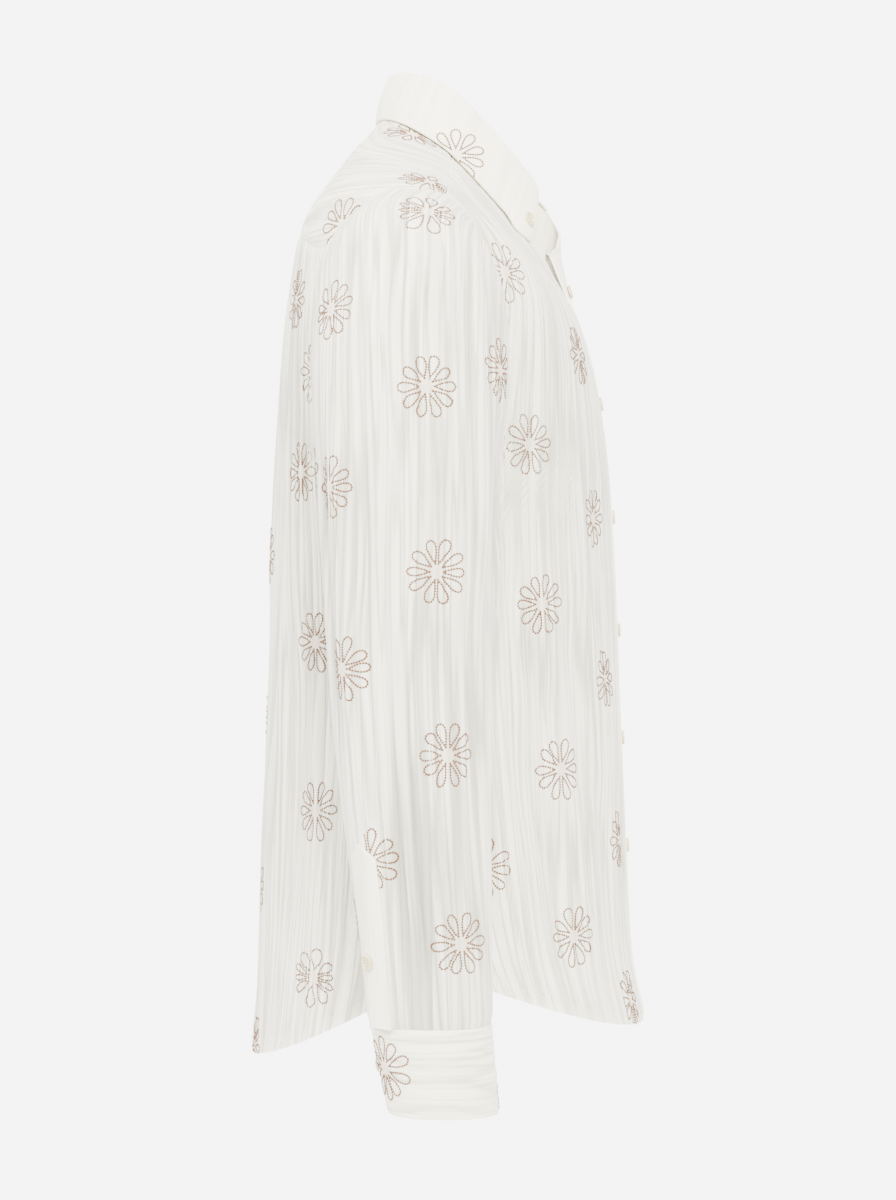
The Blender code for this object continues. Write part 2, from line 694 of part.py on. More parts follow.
def stand_angles():
    """Angles of the neck seam, in degrees, at every step of the stand."""
    edge = angle_at(np.array(BAND_HALF), np.array(0.0))
    seam_left = centre_line(BAND_HALF)[-1, 0]
    seam_right = centre_line(BAND_SEAM)[-1, 0]
    yoke = math.radians(FRONT_YOKE_NECK)
    half = math.pi * 2
    parts = (
        (-edge, seam_left, BAND_COLUMNS),
        (seam_left, yoke, NECK_STEPS),
        (yoke, half - yoke, 2 * ARM_YOKE + BACK_COLUMNS),
        (half - yoke, half - seam_right, NECK_STEPS),
        (half - seam_right, half + edge, BAND_COLUMNS),
    )
    lines = [neck_line(*part)[:, 0] for part in parts]
    joined = np.concatenate([lines[0]] + [line[1:] for line in lines[1:]])
    return np.degrees(joined)


def stand_normals(degrees_round):
    """Outward normals of the stand at the neck seam."""
    h = 0.3
    low, high = np.zeros_like(degrees_round), np.full_like(degrees_round, 0.1)
    along = stand_point(degrees_round + h, low) - stand_point(degrees_round - h, low)
    up = stand_point(degrees_round, high) - stand_point(degrees_round, low)
    return unit(np.cross(along, up))


def neck_mitre(angle, surface):
    """Mitre vectors between the body and the stand along the neck seam."""
    level = np.zeros_like(angle)
    return mitre(normals(surface, angle, level + 2e-3), stand_normals(np.degrees(angle)))


def make_front(name, side, cloth):
    surface = left_body if side > 0 else right_body
    seam_x = BAND_HALF if side > 0 else BAND_SEAM
    angle, level = front_patch(seam_x)
    if side < 0:
        angle = 2 * math.pi - angle
    outer = surface(angle, level)
    outward = normals(surface, angle, np.clip(level, 2e-3, HEM - 2e-3))
    arm = slice(SIDE_STEPS, None)
    turn = np.linspace(0.5, FRONT_CORNER, ARM_FRONT + 1)
    sleeve_side = sleeve_normals(turn, np.zeros_like(turn))
    sleeve_side = mirrored(sleeve_side) if side > 0 else sleeve_side
    outward[arm, -1] = mitre(outward[arm, -1], sleeve_side)
    neck = slice(CENTRE_STEPS, None)
    outward[neck, 0] = neck_mitre(angle[neck, 0], surface)
    return wall(name, outer, outward, CLOTH, cloth)


def make_back(name, cloth):
    half_side = evenly(
        np.full(60, math.pi / 2), np.linspace(HEM, armhole(0.5)[1], 60), SIDE_STEPS
    )
    arm_turn = np.linspace(0.5, BACK_CORNER, ARM_BACK + 1)
    half_side[-1] = armhole(0.5)
    left = np.concatenate([half_side, armhole(arm_turn)[1:]])
    right = np.stack([2 * math.pi - left[:, 0], left[:, 1]], axis=-1)
    hem_angle = np.linspace(math.pi / 2, 3 * math.pi / 2, 160)
    hem = evenly(hem_angle, np.full(160, float(HEM)), BACK_COLUMNS)
    angle, level = patch(hem, yoke_back_seam(), left, right)
    surface = right_body
    outer = surface(angle, level)
    outward = normals(surface, angle, np.clip(level, 2e-3, HEM - 2e-3))
    arm = slice(SIDE_STEPS, None)
    sleeve_side = sleeve_normals(arm_turn, np.zeros_like(arm_turn))
    outward[arm, 0] = mitre(outward[arm, 0], mirrored(sleeve_side))
    outward[arm, -1] = mitre(outward[arm, -1], sleeve_side)
    return wall(name, outer, outward, CLOTH, cloth)


def make_yoke(name, cloth):
    yoke_angle = math.radians(FRONT_YOKE_NECK)
    inner = neck_line(yoke_angle, 2 * math.pi - yoke_angle, 2 * ARM_YOKE + BACK_COLUMNS)
    arm_turn = np.linspace(1 + FRONT_CORNER, BACK_CORNER, ARM_YOKE + 1)
    arm = armhole(arm_turn)
    outer_edge = np.concatenate([arm, yoke_back_seam()[1:], opposite(arm)[1:]])
    left = yoke_front_seam(YOKE_ROWS)
    right = np.stack([2 * math.pi - left[:, 0], left[:, 1]], axis=-1)
    angle, level = patch(inner, outer_edge, left, right)
    surface = right_body
    outer = surface(angle, level)
    outward = normals(surface, angle, np.maximum(level, 2e-3))
    sleeve_side = sleeve_normals(arm_turn % 1.0, np.zeros_like(arm_turn))
    outward[-1, : ARM_YOKE + 1] = mitre(outward[-1, : ARM_YOKE + 1], mirrored(sleeve_side))
    outward[-1, -ARM_YOKE - 1 :] = mitre(outward[-1, -ARM_YOKE - 1 :], sleeve_side[::-1])
    outward[0] = neck_mitre(angle[0], surface)
    return wall(name, outer, outward, CLOTH, cloth)


def make_sleeve(name, side, cloth):
    turn, ring = np.meshgrid(TURNS, SLEEVE_LEVELS)
    outer = sleeve(turn, ring)
    outward = sleeve_normals(turn, ring)
    seam = armhole(TURNS)
    body_normal = mirrored(normals(body_creased, seam[:, 0], seam[:, 1]))
    outward[0] = mitre(outward[0], body_normal)
    if side > 0:
        outer, outward = mirrored(outer), mirrored(outward)
    return wall(name, outer, outward, CLOTH, cloth, around=True)


def cuff_point(turn, down, lift):
    """The cuff's outer face at a turn, from its seam (0) to its lower edge (1)."""
    top, low = np.array(CUFF_TOP), np.array(CUFF_BOTTOM)
    size = top + (low - top) * down[..., None]
    wide, deep = superellipse(2 * math.pi * turn, SLEEVE_FULLNESS)
    x = size[..., 0] - (size[..., 1] + lift) * deep
    half = (size[..., 3] - size[..., 2]) / 2 + lift
    y = (size[..., 2] + size[..., 3]) / 2 - half * wide
    return np.stack([x, y, size[..., 4]], axis=-1)


def cuff_normals(turn, down, lift):
    h = 2e-3
    around = cuff_point(turn + h, down, lift) - cuff_point(turn - h, down, lift)
    fall = cuff_point(turn, down + h, lift) - cuff_point(turn, down - h, lift)
    return unit(np.cross(fall, around))


CUFF_COLUMNS, CUFF_ROWS = 34, 3


def cuff_grid(columns, row_count):
    """Turn, fall and lift of the cuff's points, with a round corner at its upper end.

    The upper end lies over the lower one, so it rises by the lap as it comes round to it.
    """
    turn = np.linspace(CUFF_START, CUFF_STOP, columns + 1)
    from_end = (turn - CUFF_STOP) * CUFF_GIRTH
    reach = np.clip(CUFF_CORNER - from_end, 0, CUFF_CORNER)
    rise = CUFF_CORNER - np.sqrt(CUFF_CORNER**2 - reach**2)
    height = CUFF_TOP[4] - CUFF_BOTTOM[4]
    down = np.linspace(0, 1, row_count + 1)[:, None] * (1 - rise / height)[None]
    lift = LAP * (1 - smooth(CUFF_START - 1, CUFF_START - 1 + CUFF_RISE_TURNS, turn))
    return np.broadcast_to(turn, down.shape), down, np.broadcast_to(lift, down.shape)


def make_cuff(name, side, cloth):
    turn, down, lift = cuff_grid(CUFF_COLUMNS, CUFF_ROWS)
    outer = cuff_point(turn, down, lift)
    outward = cuff_normals(turn, down, lift)
    if side > 0:
        outer, outward = mirrored(outer), mirrored(outward)
    return wall(name, outer, outward, DOUBLE, cloth)


def make_sleeve_placket(name, side, cloth):
    """The strip that binds the slit above the cuff, with a peaked upper end."""
    across = np.linspace(-1, 1, BAND_COLUMNS + 1)
    peak = PLACKET_PEAK + PLACKET_POINT * np.abs(across)
    share = np.linspace(0, 1, PLACKET_ROWS + 1)[:, None]
    ring = peak[None] + (SLEEVE_END - peak[None]) * share
    turn = PLACKET_TURN + PLACKET_HALF * np.broadcast_to(across, ring.shape)
    outer = sleeve(turn, ring, PLACKET_LIFT)
    outward = sleeve_normals(turn, ring)
    if side > 0:
        outer, outward = mirrored(outer), mirrored(outward)
    return wall(name, outer, outward, DOUBLE, cloth)


def make_band(name, side, cloth):
    """A front band: the left one is the upper, buttonhole band, the right one the lower."""
    low, high = (-BAND_HALF, BAND_HALF) if side > 0 else (-BAND_SEAM, BAND_HALF)
    seam = centre_line(high if side > 0 else -low)
    level = np.repeat(seam[:, 1:], BAND_COLUMNS + 1, axis=1)
    edge = angle_at(np.array([low, high]), level[:, :2])
    share = np.linspace(0, 1, BAND_COLUMNS + 1)
    angle = edge[:, :1] * (1 - share) + edge[:, 1:] * share
    level = level[::-1]
    angle = angle[::-1]
    if side > 0:
        surface = left_body
    else:
        surface = right_body
        angle = 2 * math.pi + angle
    outer = surface(angle, level)
    outward = normals(surface, angle, np.clip(level, 2e-3, HEM - 2e-3))
    outward[0] = neck_mitre(angle[0], surface)
    return wall(name, outer, outward, DOUBLE, cloth)


def make_stand(name, cloth):
    degrees_round = stand_angles()
    height = np.array([0.0, 0.5, 1.0])
    columns, share = np.meshgrid(degrees_round, height)
    outer = stand_point(columns, share)
    along = np.gradient(outer, axis=1)
    up = np.gradient(outer, axis=0)
    outward = unit(np.cross(along, up))
    angle = np.radians(degrees_round)
    left = neck_mitre(angle, left_body)
    right = neck_mitre(angle, right_body)
    outward[0] = np.where((degrees_round <= 180)[:, None], left, right)
    return wall(name, outer, outward, DOUBLE, cloth)


def leaf_grid():
    """The leaf's outer points and normals, at the steps of the stand under it."""
    steps = stand_angles()
    under = steps[(steps > LEAF_END + 2) & (steps < 358 - LEAF_END)]
    outer = leaf_rows(np.concatenate([[LEAF_END], under, [360 - LEAF_END]]))
    along = np.gradient(outer, axis=1)
    down = np.gradient(outer, axis=0)
    return outer, unit(np.cross(down, along))


def make_leaf(name, cloth):
    outer, outward = leaf_grid()
    return wall(name, outer, outward, COLLAR, cloth, seams=False)


BUTTON_SIDES = 16
COLLAR_BUTTON_RISE = 0.4  # share of a leaf row that the collar buttons lie above its lowest one


def add_button(name, point, normal, finish):
    """A button whose lower face lies just off the point, facing along the normal."""
    mesh = bpy.data.meshes.get("button")
    if mesh is None:
        disc = bmesh.new()
        bmesh.ops.create_cone(
            disc,
            cap_ends=True,
            segments=BUTTON_SIDES,
            radius1=BUTTON_RADIUS * MM,
            radius2=BUTTON_RADIUS * BUTTON_TOP * MM,
            depth=BUTTON_HEIGHT * MM,
            matrix=Matrix.Translation((0, 0, BUTTON_HEIGHT / 2 * MM)),
        )
        mesh = bpy.data.meshes.new("button")
        disc.to_mesh(mesh)
        disc.free()
    made = add_object(name, mesh, finish)
    facing = Vector(normal).to_track_quat("Z", "Y").to_matrix().to_4x4()
    made.matrix_world = Matrix.Translation((Vector(point) + REST * Vector(normal)) * MM) @ facing
    return made


def centre_level(z):
    """Level of the centre front at this height."""
    level = np.linspace(NECK, HEM, 400)
    heights = body_form(np.zeros_like(level), level)[:, 2]
    return np.interp(-z, -heights, level)


def add_buttons(pearl):
    for number, z in enumerate(FRONT_BUTTON_Z, start=1):
        angle, level = np.array(0.0), centre_level(np.array(z))
        point = left_body(angle, level)
        add_button(f"button_front_{number}", point, normals(left_body, angle, level), pearl)
    outer, outward = leaf_grid()
    for name, column in (("button_collar_left", 0), ("button_collar_right", -1)):
        beside = 1 if column == 0 else -2
        low = outer[-2:, [column, beside]].mean(axis=(0, 1))
        high = outer[-3:-1, [column, beside]].mean(axis=(0, 1))
        point = low + (high - low) * COLLAR_BUTTON_RISE
        add_button(name, point + REST * outward[-2, column], outward[-2, column], pearl)
    turn, ring = np.array(PLACKET_BUTTON[0]), np.array(PLACKET_BUTTON[1])
    point = sleeve(turn, ring, PLACKET_LIFT)
    normal = sleeve_normals(turn, ring)
    add_button("button_placket_right", point, normal, pearl)
    add_button("button_placket_left", mirrored(point), mirrored(normal), pearl)
    turn = np.array(CUFF_STOP + CUFF_BUTTON_INSET / CUFF_GIRTH)
    middle, lift = np.array(0.5), np.array(LAP)
    point = cuff_point(turn, middle, lift)
    normal = cuff_normals(turn, middle, lift)
    add_button("button_cuff_right", point, normal, pearl)
    add_button("button_cuff_left", mirrored(point), mirrored(normal), pearl)


for old in list(bpy.data.objects):
    bpy.data.objects.remove(old)

SHIRT = bpy.data.collections.new("embroidered_shirt")
bpy.context.scene.collection.children.link(SHIRT)

crinkled = material("crinkled_cotton", OFF_WHITE, 0.85)
pearl_finish = material("pearl_button", PEARL, 0.3)

make_front("front_right", -1, crinkled)
make_front("front_left", 1, crinkled)
make_back("back", crinkled)
make_yoke("yoke", crinkled)
make_band("button_band", -1, crinkled)
make_band("front_placket", 1, crinkled)
make_stand("collar_stand", crinkled)
make_leaf("collar_leaf", crinkled)
for side, word in ((-1, "right"), (1, "left")):
    make_sleeve(f"sleeve_{word}", side, crinkled)
    make_cuff(f"cuff_{word}", side, crinkled)
    make_sleeve_placket(f"sleeve_placket_{word}", side, crinkled)
add_buttons(pearl_finish)
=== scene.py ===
# %% [markdown]
# # An embroidered shirt in crinkled cotton
#
# The shirt stands as if worn, with nobody inside it. A physics model gives its frame: each sewn
# piece is a plain wall there, in metres, with +Z up and the front towards -Y. This file dresses
# that frame. It makes every piece of cloth again, with its fine creases, hems and seams, and then
# adds what a sewing room adds: stitching, embroidered daisies and pearl buttons.
#
# Each cell does one small thing and prints what it made, so it can be run cell by cell.

import json
import math

import bmesh
import bpy
import numpy as np
from mathutils import Matrix, Vector
from mathutils.bvhtree import BVHTree

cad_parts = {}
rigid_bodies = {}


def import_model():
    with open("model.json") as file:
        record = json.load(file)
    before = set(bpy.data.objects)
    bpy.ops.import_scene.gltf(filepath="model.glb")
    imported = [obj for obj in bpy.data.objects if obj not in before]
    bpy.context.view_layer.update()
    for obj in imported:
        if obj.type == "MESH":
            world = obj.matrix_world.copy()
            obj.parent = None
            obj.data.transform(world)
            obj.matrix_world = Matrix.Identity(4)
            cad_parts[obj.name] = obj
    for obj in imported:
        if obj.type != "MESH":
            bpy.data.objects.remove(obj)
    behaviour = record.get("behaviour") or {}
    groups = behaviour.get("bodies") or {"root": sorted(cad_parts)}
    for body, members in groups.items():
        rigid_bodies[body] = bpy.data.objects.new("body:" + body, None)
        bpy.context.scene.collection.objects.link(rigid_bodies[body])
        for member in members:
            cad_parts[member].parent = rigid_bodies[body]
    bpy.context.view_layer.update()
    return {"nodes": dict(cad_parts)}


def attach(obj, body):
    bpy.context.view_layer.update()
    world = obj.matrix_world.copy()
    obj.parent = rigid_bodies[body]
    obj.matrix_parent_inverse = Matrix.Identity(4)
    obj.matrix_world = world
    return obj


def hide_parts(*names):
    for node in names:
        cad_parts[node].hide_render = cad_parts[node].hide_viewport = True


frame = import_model()
print("pieces in the frame:", len(frame["nodes"]))

# %% [markdown]
# The photograph was taken from the wearer's right side, level with the middle of the shirt and
# about two metres off. A lens of 78.75 mm on a 36 mm sensor gives the same framing: a long lens
# keeps the near sleeve from looking too large. The camera looks along +X.

# %% Camera
CAMERA_PLACE = (-2.1, 0.0144, -0.342)
FOCAL_LENGTH, SENSOR_WIDTH = 78.75, 36  # mm


def add_object(name, data):
    """A new object in the scene that shows a camera, a lamp or a mesh."""
    made = bpy.data.objects.new(name, data)
    bpy.context.scene.collection.objects.link(made)
    return made


lens = bpy.data.cameras.new("camera")
lens.lens, lens.sensor_width = FOCAL_LENGTH, SENSOR_WIDTH
lens.clip_start, lens.clip_end = 0.05, 50
camera = add_object("camera", lens)
camera.location = CAMERA_PLACE
camera.rotation_euler = (math.radians(90), 0, math.radians(-90))
bpy.context.scene.camera = camera
print("camera at", CAMERA_PLACE)

# %% [markdown]
# Pale cloth on a pale ground needs soft light from all round, or it turns grey. The world gives
# most of it. A lamp above the camera and a weaker one towards the back add the gentle change of
# tone that shows the form. The floor is where a wearer's feet would be, well below the hem.

# %% Light and floor
FLOOR_HEIGHT, FLOOR_RADIUS = -1.45, 2.4
FLOOR_TONE = 0.82
SKY_COLOUR = (0.905, 0.905, 0.905)
AMBIENT, BACKDROP = 3.3, 7.6  # strength of the sky as light, and as the backdrop that is seen


def area_light(name, place, aim, size, power, tint=(1, 1, 1)):
    lamp = bpy.data.lights.new(name, "AREA")
    lamp.shape, lamp.size, lamp.energy, lamp.color = "DISK", size, power, tint
    made = add_object(name, lamp)
    made.location = place
    made.rotation_euler = (Vector(aim) - Vector(place)).to_track_quat("-Z", "Y").to_euler()


area_light("key", (-2.6, -0.5, 1.5), (0, 0, -0.3), 1.1, 430, (1.0, 0.99, 0.97))
area_light("back", (-0.9, 2.3, 0.7), (0, 0, -0.4), 1.0, 110)

bpy.ops.mesh.primitive_circle_add(
    vertices=96, radius=FLOOR_RADIUS, fill_type="NGON", location=(0, 0, FLOOR_HEIGHT)
)
floor = bpy.context.object
floor.name = "floor"
floor_finish = bpy.data.materials.new("floor")
floor_finish.use_nodes = True
floor_surface = floor_finish.node_tree.nodes["Principled BSDF"]
floor_surface.inputs["Base Color"].default_value = (FLOOR_TONE, FLOOR_TONE, FLOOR_TONE, 1)
floor_surface.inputs["Roughness"].default_value = 0.9
floor.data.materials.append(floor_finish)

world = bpy.context.scene.world or bpy.data.worlds.new("studio")
bpy.context.scene.world = world
world.use_nodes = True
sky = world.node_tree.nodes["Background"]
sky.inputs["Color"].default_value = (*SKY_COLOUR, 1)
seen = world.node_tree.nodes.new("ShaderNodeLightPath")
level = world.node_tree.nodes.new("ShaderNodeMapRange")
level.inputs["To Min"].default_value = AMBIENT
level.inputs["To Max"].default_value = BACKDROP
world.node_tree.links.new(seen.outputs["Is Camera Ray"], level.inputs["Value"])
world.node_tree.links.new(level.outputs["Result"], sky.inputs["Strength"])
print("floor at", FLOOR_HEIGHT, "m")

# %% [markdown]
# ## Shader maths in plain Python
#
# Blender builds a material from nodes. Joining a dozen Math nodes by hand is slow to read, so a
# small class wraps a socket and overloads the usual operators: `1 - mask * 0.4` then adds the
# nodes by itself. Every other kind of node comes from one method, `node`, which takes the node's
# type, its settings, and the values or links of its sockets.


# %% The shader helper
class Field:
    """A value that changes over a surface, as an output socket of a node."""

    def __init__(self, shader, socket):
        self.shader, self.socket = shader, socket

    def maths(self, operation, *others):
        """A Math node on this value, and on the other values that it takes."""
        return self.shader.node("ShaderNodeMath", {"operation": operation}, self, *others)

    def __add__(self, other):
        return self.maths("ADD", other)

    def __sub__(self, other):
        return self.maths("SUBTRACT", other)

    def __rsub__(self, other):
        return self.shader.node("ShaderNodeMath", {"operation": "SUBTRACT"}, other, self)

    def __mul__(self, other):
        return self.maths("MULTIPLY", other)

    def __pow__(self, other):
        return self.maths("POWER", other)

    __radd__, __rmul__ = __add__, __mul__


# %% A material and its nodes
class Shader:
    """A material, and the nodes that are added to it one after another."""

    def __init__(self, name):
        self.material = bpy.data.materials.new(name)
        self.material.use_nodes = True
        self.tree = self.material.node_tree
        self.surface = self.tree.nodes["Principled BSDF"]

    def node(self, kind, settings=None, *values, output=0, **named):
        made = self.tree.nodes.new(kind)
        for key, value in (settings or {}).items():
            setattr(made, key, value)
        for key, value in [*enumerate(values), *named.items()]:
            self.plug(made.inputs[key], value)
        return Field(self, made.outputs[output])

    def plug(self, socket, value):
        if isinstance(value, Field):
            self.tree.links.new(value.socket, socket)
        elif socket.type == "RGBA":
            socket.default_value = (*value, 1)
        else:
            socket.default_value = value

    def set(self, **named):
        for key, value in named.items():
            self.plug(self.surface.inputs[key.replace("_", " ")], value)

    def mix(self, share, one, two):
        made = self.node("ShaderNodeMix", {"data_type": "RGBA"}, output=2)
        sockets = made.socket.node.inputs  # 0 is the factor, 6 and 7 are the two colours
        for place, value in ((0, share), (6, one), (7, two)):
            self.plug(sockets[place], value)
        return made

    def noise(self, vector, scale, detail=2.0, rough=0.5, stretch=(1, 1, 1)):
        placed = self.node("ShaderNodeMapping", {"vector_type": "POINT"}, Vector=vector, Scale=stretch)
        return self.node(
            "ShaderNodeTexNoise", None, Vector=placed, Scale=scale, Detail=detail, Roughness=rough
        )

    def bump(self, height, distance, strength=1.0, under=None):
        named = {"Height": height, "Distance": distance, "Strength": strength}
        if under is not None:
            named["Normal"] = under
        return self.node("ShaderNodeBump", None, **named)


# %% [markdown]
# ## The cotton
#
# Crinkled cotton is a thin gauze. Seen close it is three things at once: an open plain weave, a
# web of fine creases along the threads, and a faint change of tone where the cloth lies double.
# The large creases are in the mesh, so the material's bumps add only what is smaller than the mesh can
# carry: threads about half a millimetre apart, and creases a millimetre or two wide. Both follow the
# cloth's own UV map, which is the flat cut in metres, so they turn with the cloth.
#
# Two values come from the mesh as attributes. One is 1 in the bottom of a crease, and there it darkens
# the colour as painted shade. The other, `double`, is 1 where the cloth is turned over at a hem or a
# seam. The finest creases are pressed lines less than a millimetre wide, 7 to 10 mm apart, drawn with a
# bump and with painted shade. They lie where a long, slow noise passes through its middle value.

# %% Cotton
COTTON = (0.890, 0.848, 0.655)
COTTON_DOUBLE = (0.903, 0.842, 0.635)
SLUB = (0.93, 0.92, 0.84)
THREAD_PITCH = 0.00055
CREASE_SHARPNESS = 15.0  # a pressed line takes up a fifteenth of the noise's range on each side


def darker(colour, share):
    """This share of a colour's light."""
    return tuple(part * share for part in colour)


def ridge(noise, sharp):
    """1 along the lines where a noise passes through one half, 0 away from them."""
    return (1 - (noise - 0.5).maths("ABSOLUTE") * sharp).maths("MAXIMUM", 0.0)


def cotton(name, down_map=True, crease_bump_and_shade=0.8, weave_bump=0.18, alpha=0.93):
    """Crinkled gauze, with its fine creases down the UV map or across it, and painted shade in them."""

    def stretched(share):
        return (1, share, 1) if down_map else (share, 1, 1)

    shader = Shader(name)
    uv = shader.node("ShaderNodeUVMap", {"uv_map": "cut"})
    valley = shader.node("ShaderNodeAttribute", {"attribute_name": "valley"}, output=2)
    double = shader.node("ShaderNodeAttribute", {"attribute_name": "double"}, output=2)
    across = shader.node("ShaderNodeSeparateXYZ", None, uv)
    down = Field(shader, across.socket.node.outputs[1])
    warp = (across * (2 * math.pi / THREAD_PITCH)).maths("SINE")
    weft = (down * (2 * math.pi / THREAD_PITCH)).maths("SINE")
    threads = warp * 0.5 + weft * 0.5
    creases = shader.noise(uv, 620, 2.0, 0.55, stretched(0.045))
    folds = shader.noise(uv, 240, 1.5, 0.5, stretched(0.045))
    wrinkles = ridge(shader.noise(uv, 125, 1.0, 0.4, stretched(0.030)), CREASE_SHARPNESS)
    slubs = shader.noise(uv, 900, 1.0, 0.5, (1, 0.02, 1))
    cloud = shader.noise(uv, 22, 2.0, 0.6)
    colour = shader.mix(double, COTTON, COTTON_DOUBLE)
    colour = shader.mix(cloud * 0.10, colour, darker(COTTON, 0.93))
    # Painted shade: the colour darkens towards the bottom of each crease, where shade would fall.
    colour = shader.mix(valley * 0.9, colour, darker(COTTON, 0.45))
    colour = shader.mix(slubs**3.0 * 0.25, colour, SLUB)
    # Painted shade along the fine pressed lines, patchy with the slow cloud.
    colour = shader.mix(wrinkles * (cloud * 1.5 * crease_bump_and_shade), colour, darker(COTTON, 0.42))
    weave = shader.bump(threads, 0.00012, weave_bump)
    fine = shader.bump(creases * 0.6 + folds * 0.8 - wrinkles * 0.7, 0.0009, crease_bump_and_shade, weave)
    shader.set(Base_Color=colour, Normal=fine, Roughness=creases * 0.08 + 0.82)
    shader.set(Alpha=1 - (1 - double) * (1 - alpha))
    shader.set(Sheen_Weight=0.25, Sheen_Roughness=0.5, IOR=1.35)
    shader.set(Subsurface_Weight=0.25, Subsurface_Radius=(0.004, 0.0038, 0.0034), Subsurface_Scale=1.0)
    return shader.material


crinkled = cotton("crinkled_cotton")
crinkled_across = cotton("crinkled_cotton_across", down_map=False)
smooth_cotton = cotton("pressed_cotton", crease_bump_and_shade=0.16, weave_bump=0.22, alpha=0.985)
cuff_cotton = cotton("cuff_cotton", down_map=False, crease_bump_and_shade=0.35, alpha=0.985)
print("nodes in the cotton:", len(crinkled.node_tree.nodes))

# %% [markdown]
# ## Thread
#
# The daisies are worked in a matt tan thread, and the seams in the cotton's own colour. A thread
# is a twisted pair of strands, so its tone and its bump change in small steps along the stitch.
# The stitches have no UV map: Object coordinates do, because each finished piece sits unturned at
# the origin.


# %% Threads
def thread(name, colour, dark, roughness=0.62):
    shader = Shader(name)
    place = shader.node("ShaderNodeTexCoord", None, output=3)
    strand = shader.noise(place, 1500, 1.0)
    patchy = shader.noise(place, 35, 2.0)
    shade = shader.mix(strand, colour, dark)
    shade = shader.mix(patchy * 0.35, shade, tuple(min(1, c * 1.3) for c in colour))
    shader.set(Base_Color=shade, Roughness=strand * 0.15 + roughness)
    shader.set(Normal=shader.bump(strand, 0.0002, 0.6))
    return shader.material


tan_thread = thread("embroidery_thread", (0.135, 0.050, 0.014), (0.090, 0.032, 0.008))
pale_thread = thread("embroidery_thread_pale", (0.74, 0.60, 0.48), (0.60, 0.44, 0.33))
white_thread = thread("sewing_thread", (0.88, 0.87, 0.83), (0.80, 0.78, 0.73))
print("threads:", tan_thread.name, pale_thread.name, white_thread.name)

# %% [markdown]
# ## Pearl
#
# The buttons are pale cream pearl. Pearl is built up in thin layers, so its tone runs in soft
# curved bands and its surface is smooth and lightly coated. A stretched noise bends the bands of
# a wave pattern enough to look grown and not printed.

# %% Pearl
pearl_shader = Shader("pearl")
place = pearl_shader.node("ShaderNodeTexCoord", None, output=3)
waves = {"Scale": 55.0, "Distortion": 7.0, "Detail": 2.0}
bands = pearl_shader.node("ShaderNodeTexWave", {"wave_type": "BANDS"}, place, output=1, **waves)
clouds = pearl_shader.noise(place, 160, 3.0)
colour = pearl_shader.mix(bands * 0.6, (0.56, 0.46, 0.22), (0.70, 0.62, 0.36))
colour = pearl_shader.mix(clouds * 0.35, colour, (0.50, 0.40, 0.18))
pearl_shader.set(Base_Color=colour, Roughness=clouds * 0.12 + 0.16)
pearl_shader.set(Normal=pearl_shader.bump(bands, 0.0001, 0.15))
pearl_shader.set(Coat_Weight=0.6, Coat_Roughness=0.08, IOR=1.55)
pearl = pearl_shader.material
print("nodes in the pearl:", len(pearl.node_tree.nodes))

# %% [markdown]
# ## The form of the body
#
# A tailor thinks of a shirt as rings: neck, shoulders, chest, waist, hem. The same is done here.
# Fourteen rings give the size of the body from the neck seam down to the hem, and a smooth curve
# runs through them. A point on the body then has an angle, 0 at the centre front and 180 degrees
# at the centre back, and a level, which is the ring number. The sizes are in millimetres, and are
# the same as those of the frame, so the cloth lies exactly where the frame's walls are.

# %% Sizes of the cloth
MM = 0.001
DOUBLE = 1.6  # wall of the plackets, the stand and the cuffs, which are two layers
REST = 0.35  # space under a piece that lies on another
BAND_HALF = 15.0  # half the width of the front bands
BAND_SEAM = 17.0  # distance from the centre front to the seam under the upper band
LAP = DOUBLE + REST  # height of the upper band over the lower one
LAP_FADE_X = 52.0  # distance from the centre front where the left front lies level again
BUTTON_HEIGHT = 2.6  # of the frame's plain buttons
ROLL_RADIUS = 3.4  # outer radius of the collar's fold
STAND_TOP = 0.3  # the stand ends this far above the centre of that fold
ROLL_TILTS = (150, 30)  # where the leaf enters and leaves the roll round the fold, in degrees
LAP_ENDS = (13.0, 28.0)  # angles between which the stand's left end rises over the right one
LEAF_LIFT = 2.7  # the leaf's outer face stands this far off the body at its edge
LEAF_BULGE = 2.2  # and bows out this far on its way down

# %% Rings of the body
# Half width, y and z at the side, at the centre front and at the centre back, and how square
# the front and the back are
BODY_RINGS = np.array([
    (68, 14, 6, -69, -71, 66, 42, 1.75, 2.2),
    (105, 18, -8, -74, -84, 77, 26, 1.75, 2.3),
    (140, 22, -21, -79, -97, 91, 8, 1.8, 2.5),
    (175, 26, -33, -84, -111, 105, -15, 1.95, 2.7),
    (205, 30, -46, -89.5, -127, 118, -37, 2.1, 2.9),
    (211, 33, -75, -95.5, -146, 128, -57, 2.25, 3.0),
    (206, 36, -125, -102, -172, 135, -86, 2.3, 3.0),
    (199, 38, -190, -108, -208, 143, -140, 2.3, 2.9),
    (194, 40, -262, -113, -255, 149, -225, 2.3, 2.7),
    (191, 34, -345, -118, -345, 154, -330, 2.3, 2.5),
    (190, 28, -430, -121, -430, 158, -425, 2.3, 2.4),
    (192, 24, -520, -125, -525, 162, -540, 2.3, 2.4),
    (197, 21, -585, -130, -620, 165, -640, 2.3, 2.4),
    (200, 20, -612, -140, -671, 169, -694, 2.3, 2.4),
], dtype=float)
NECK, HEM = 0, len(BODY_RINGS) - 1
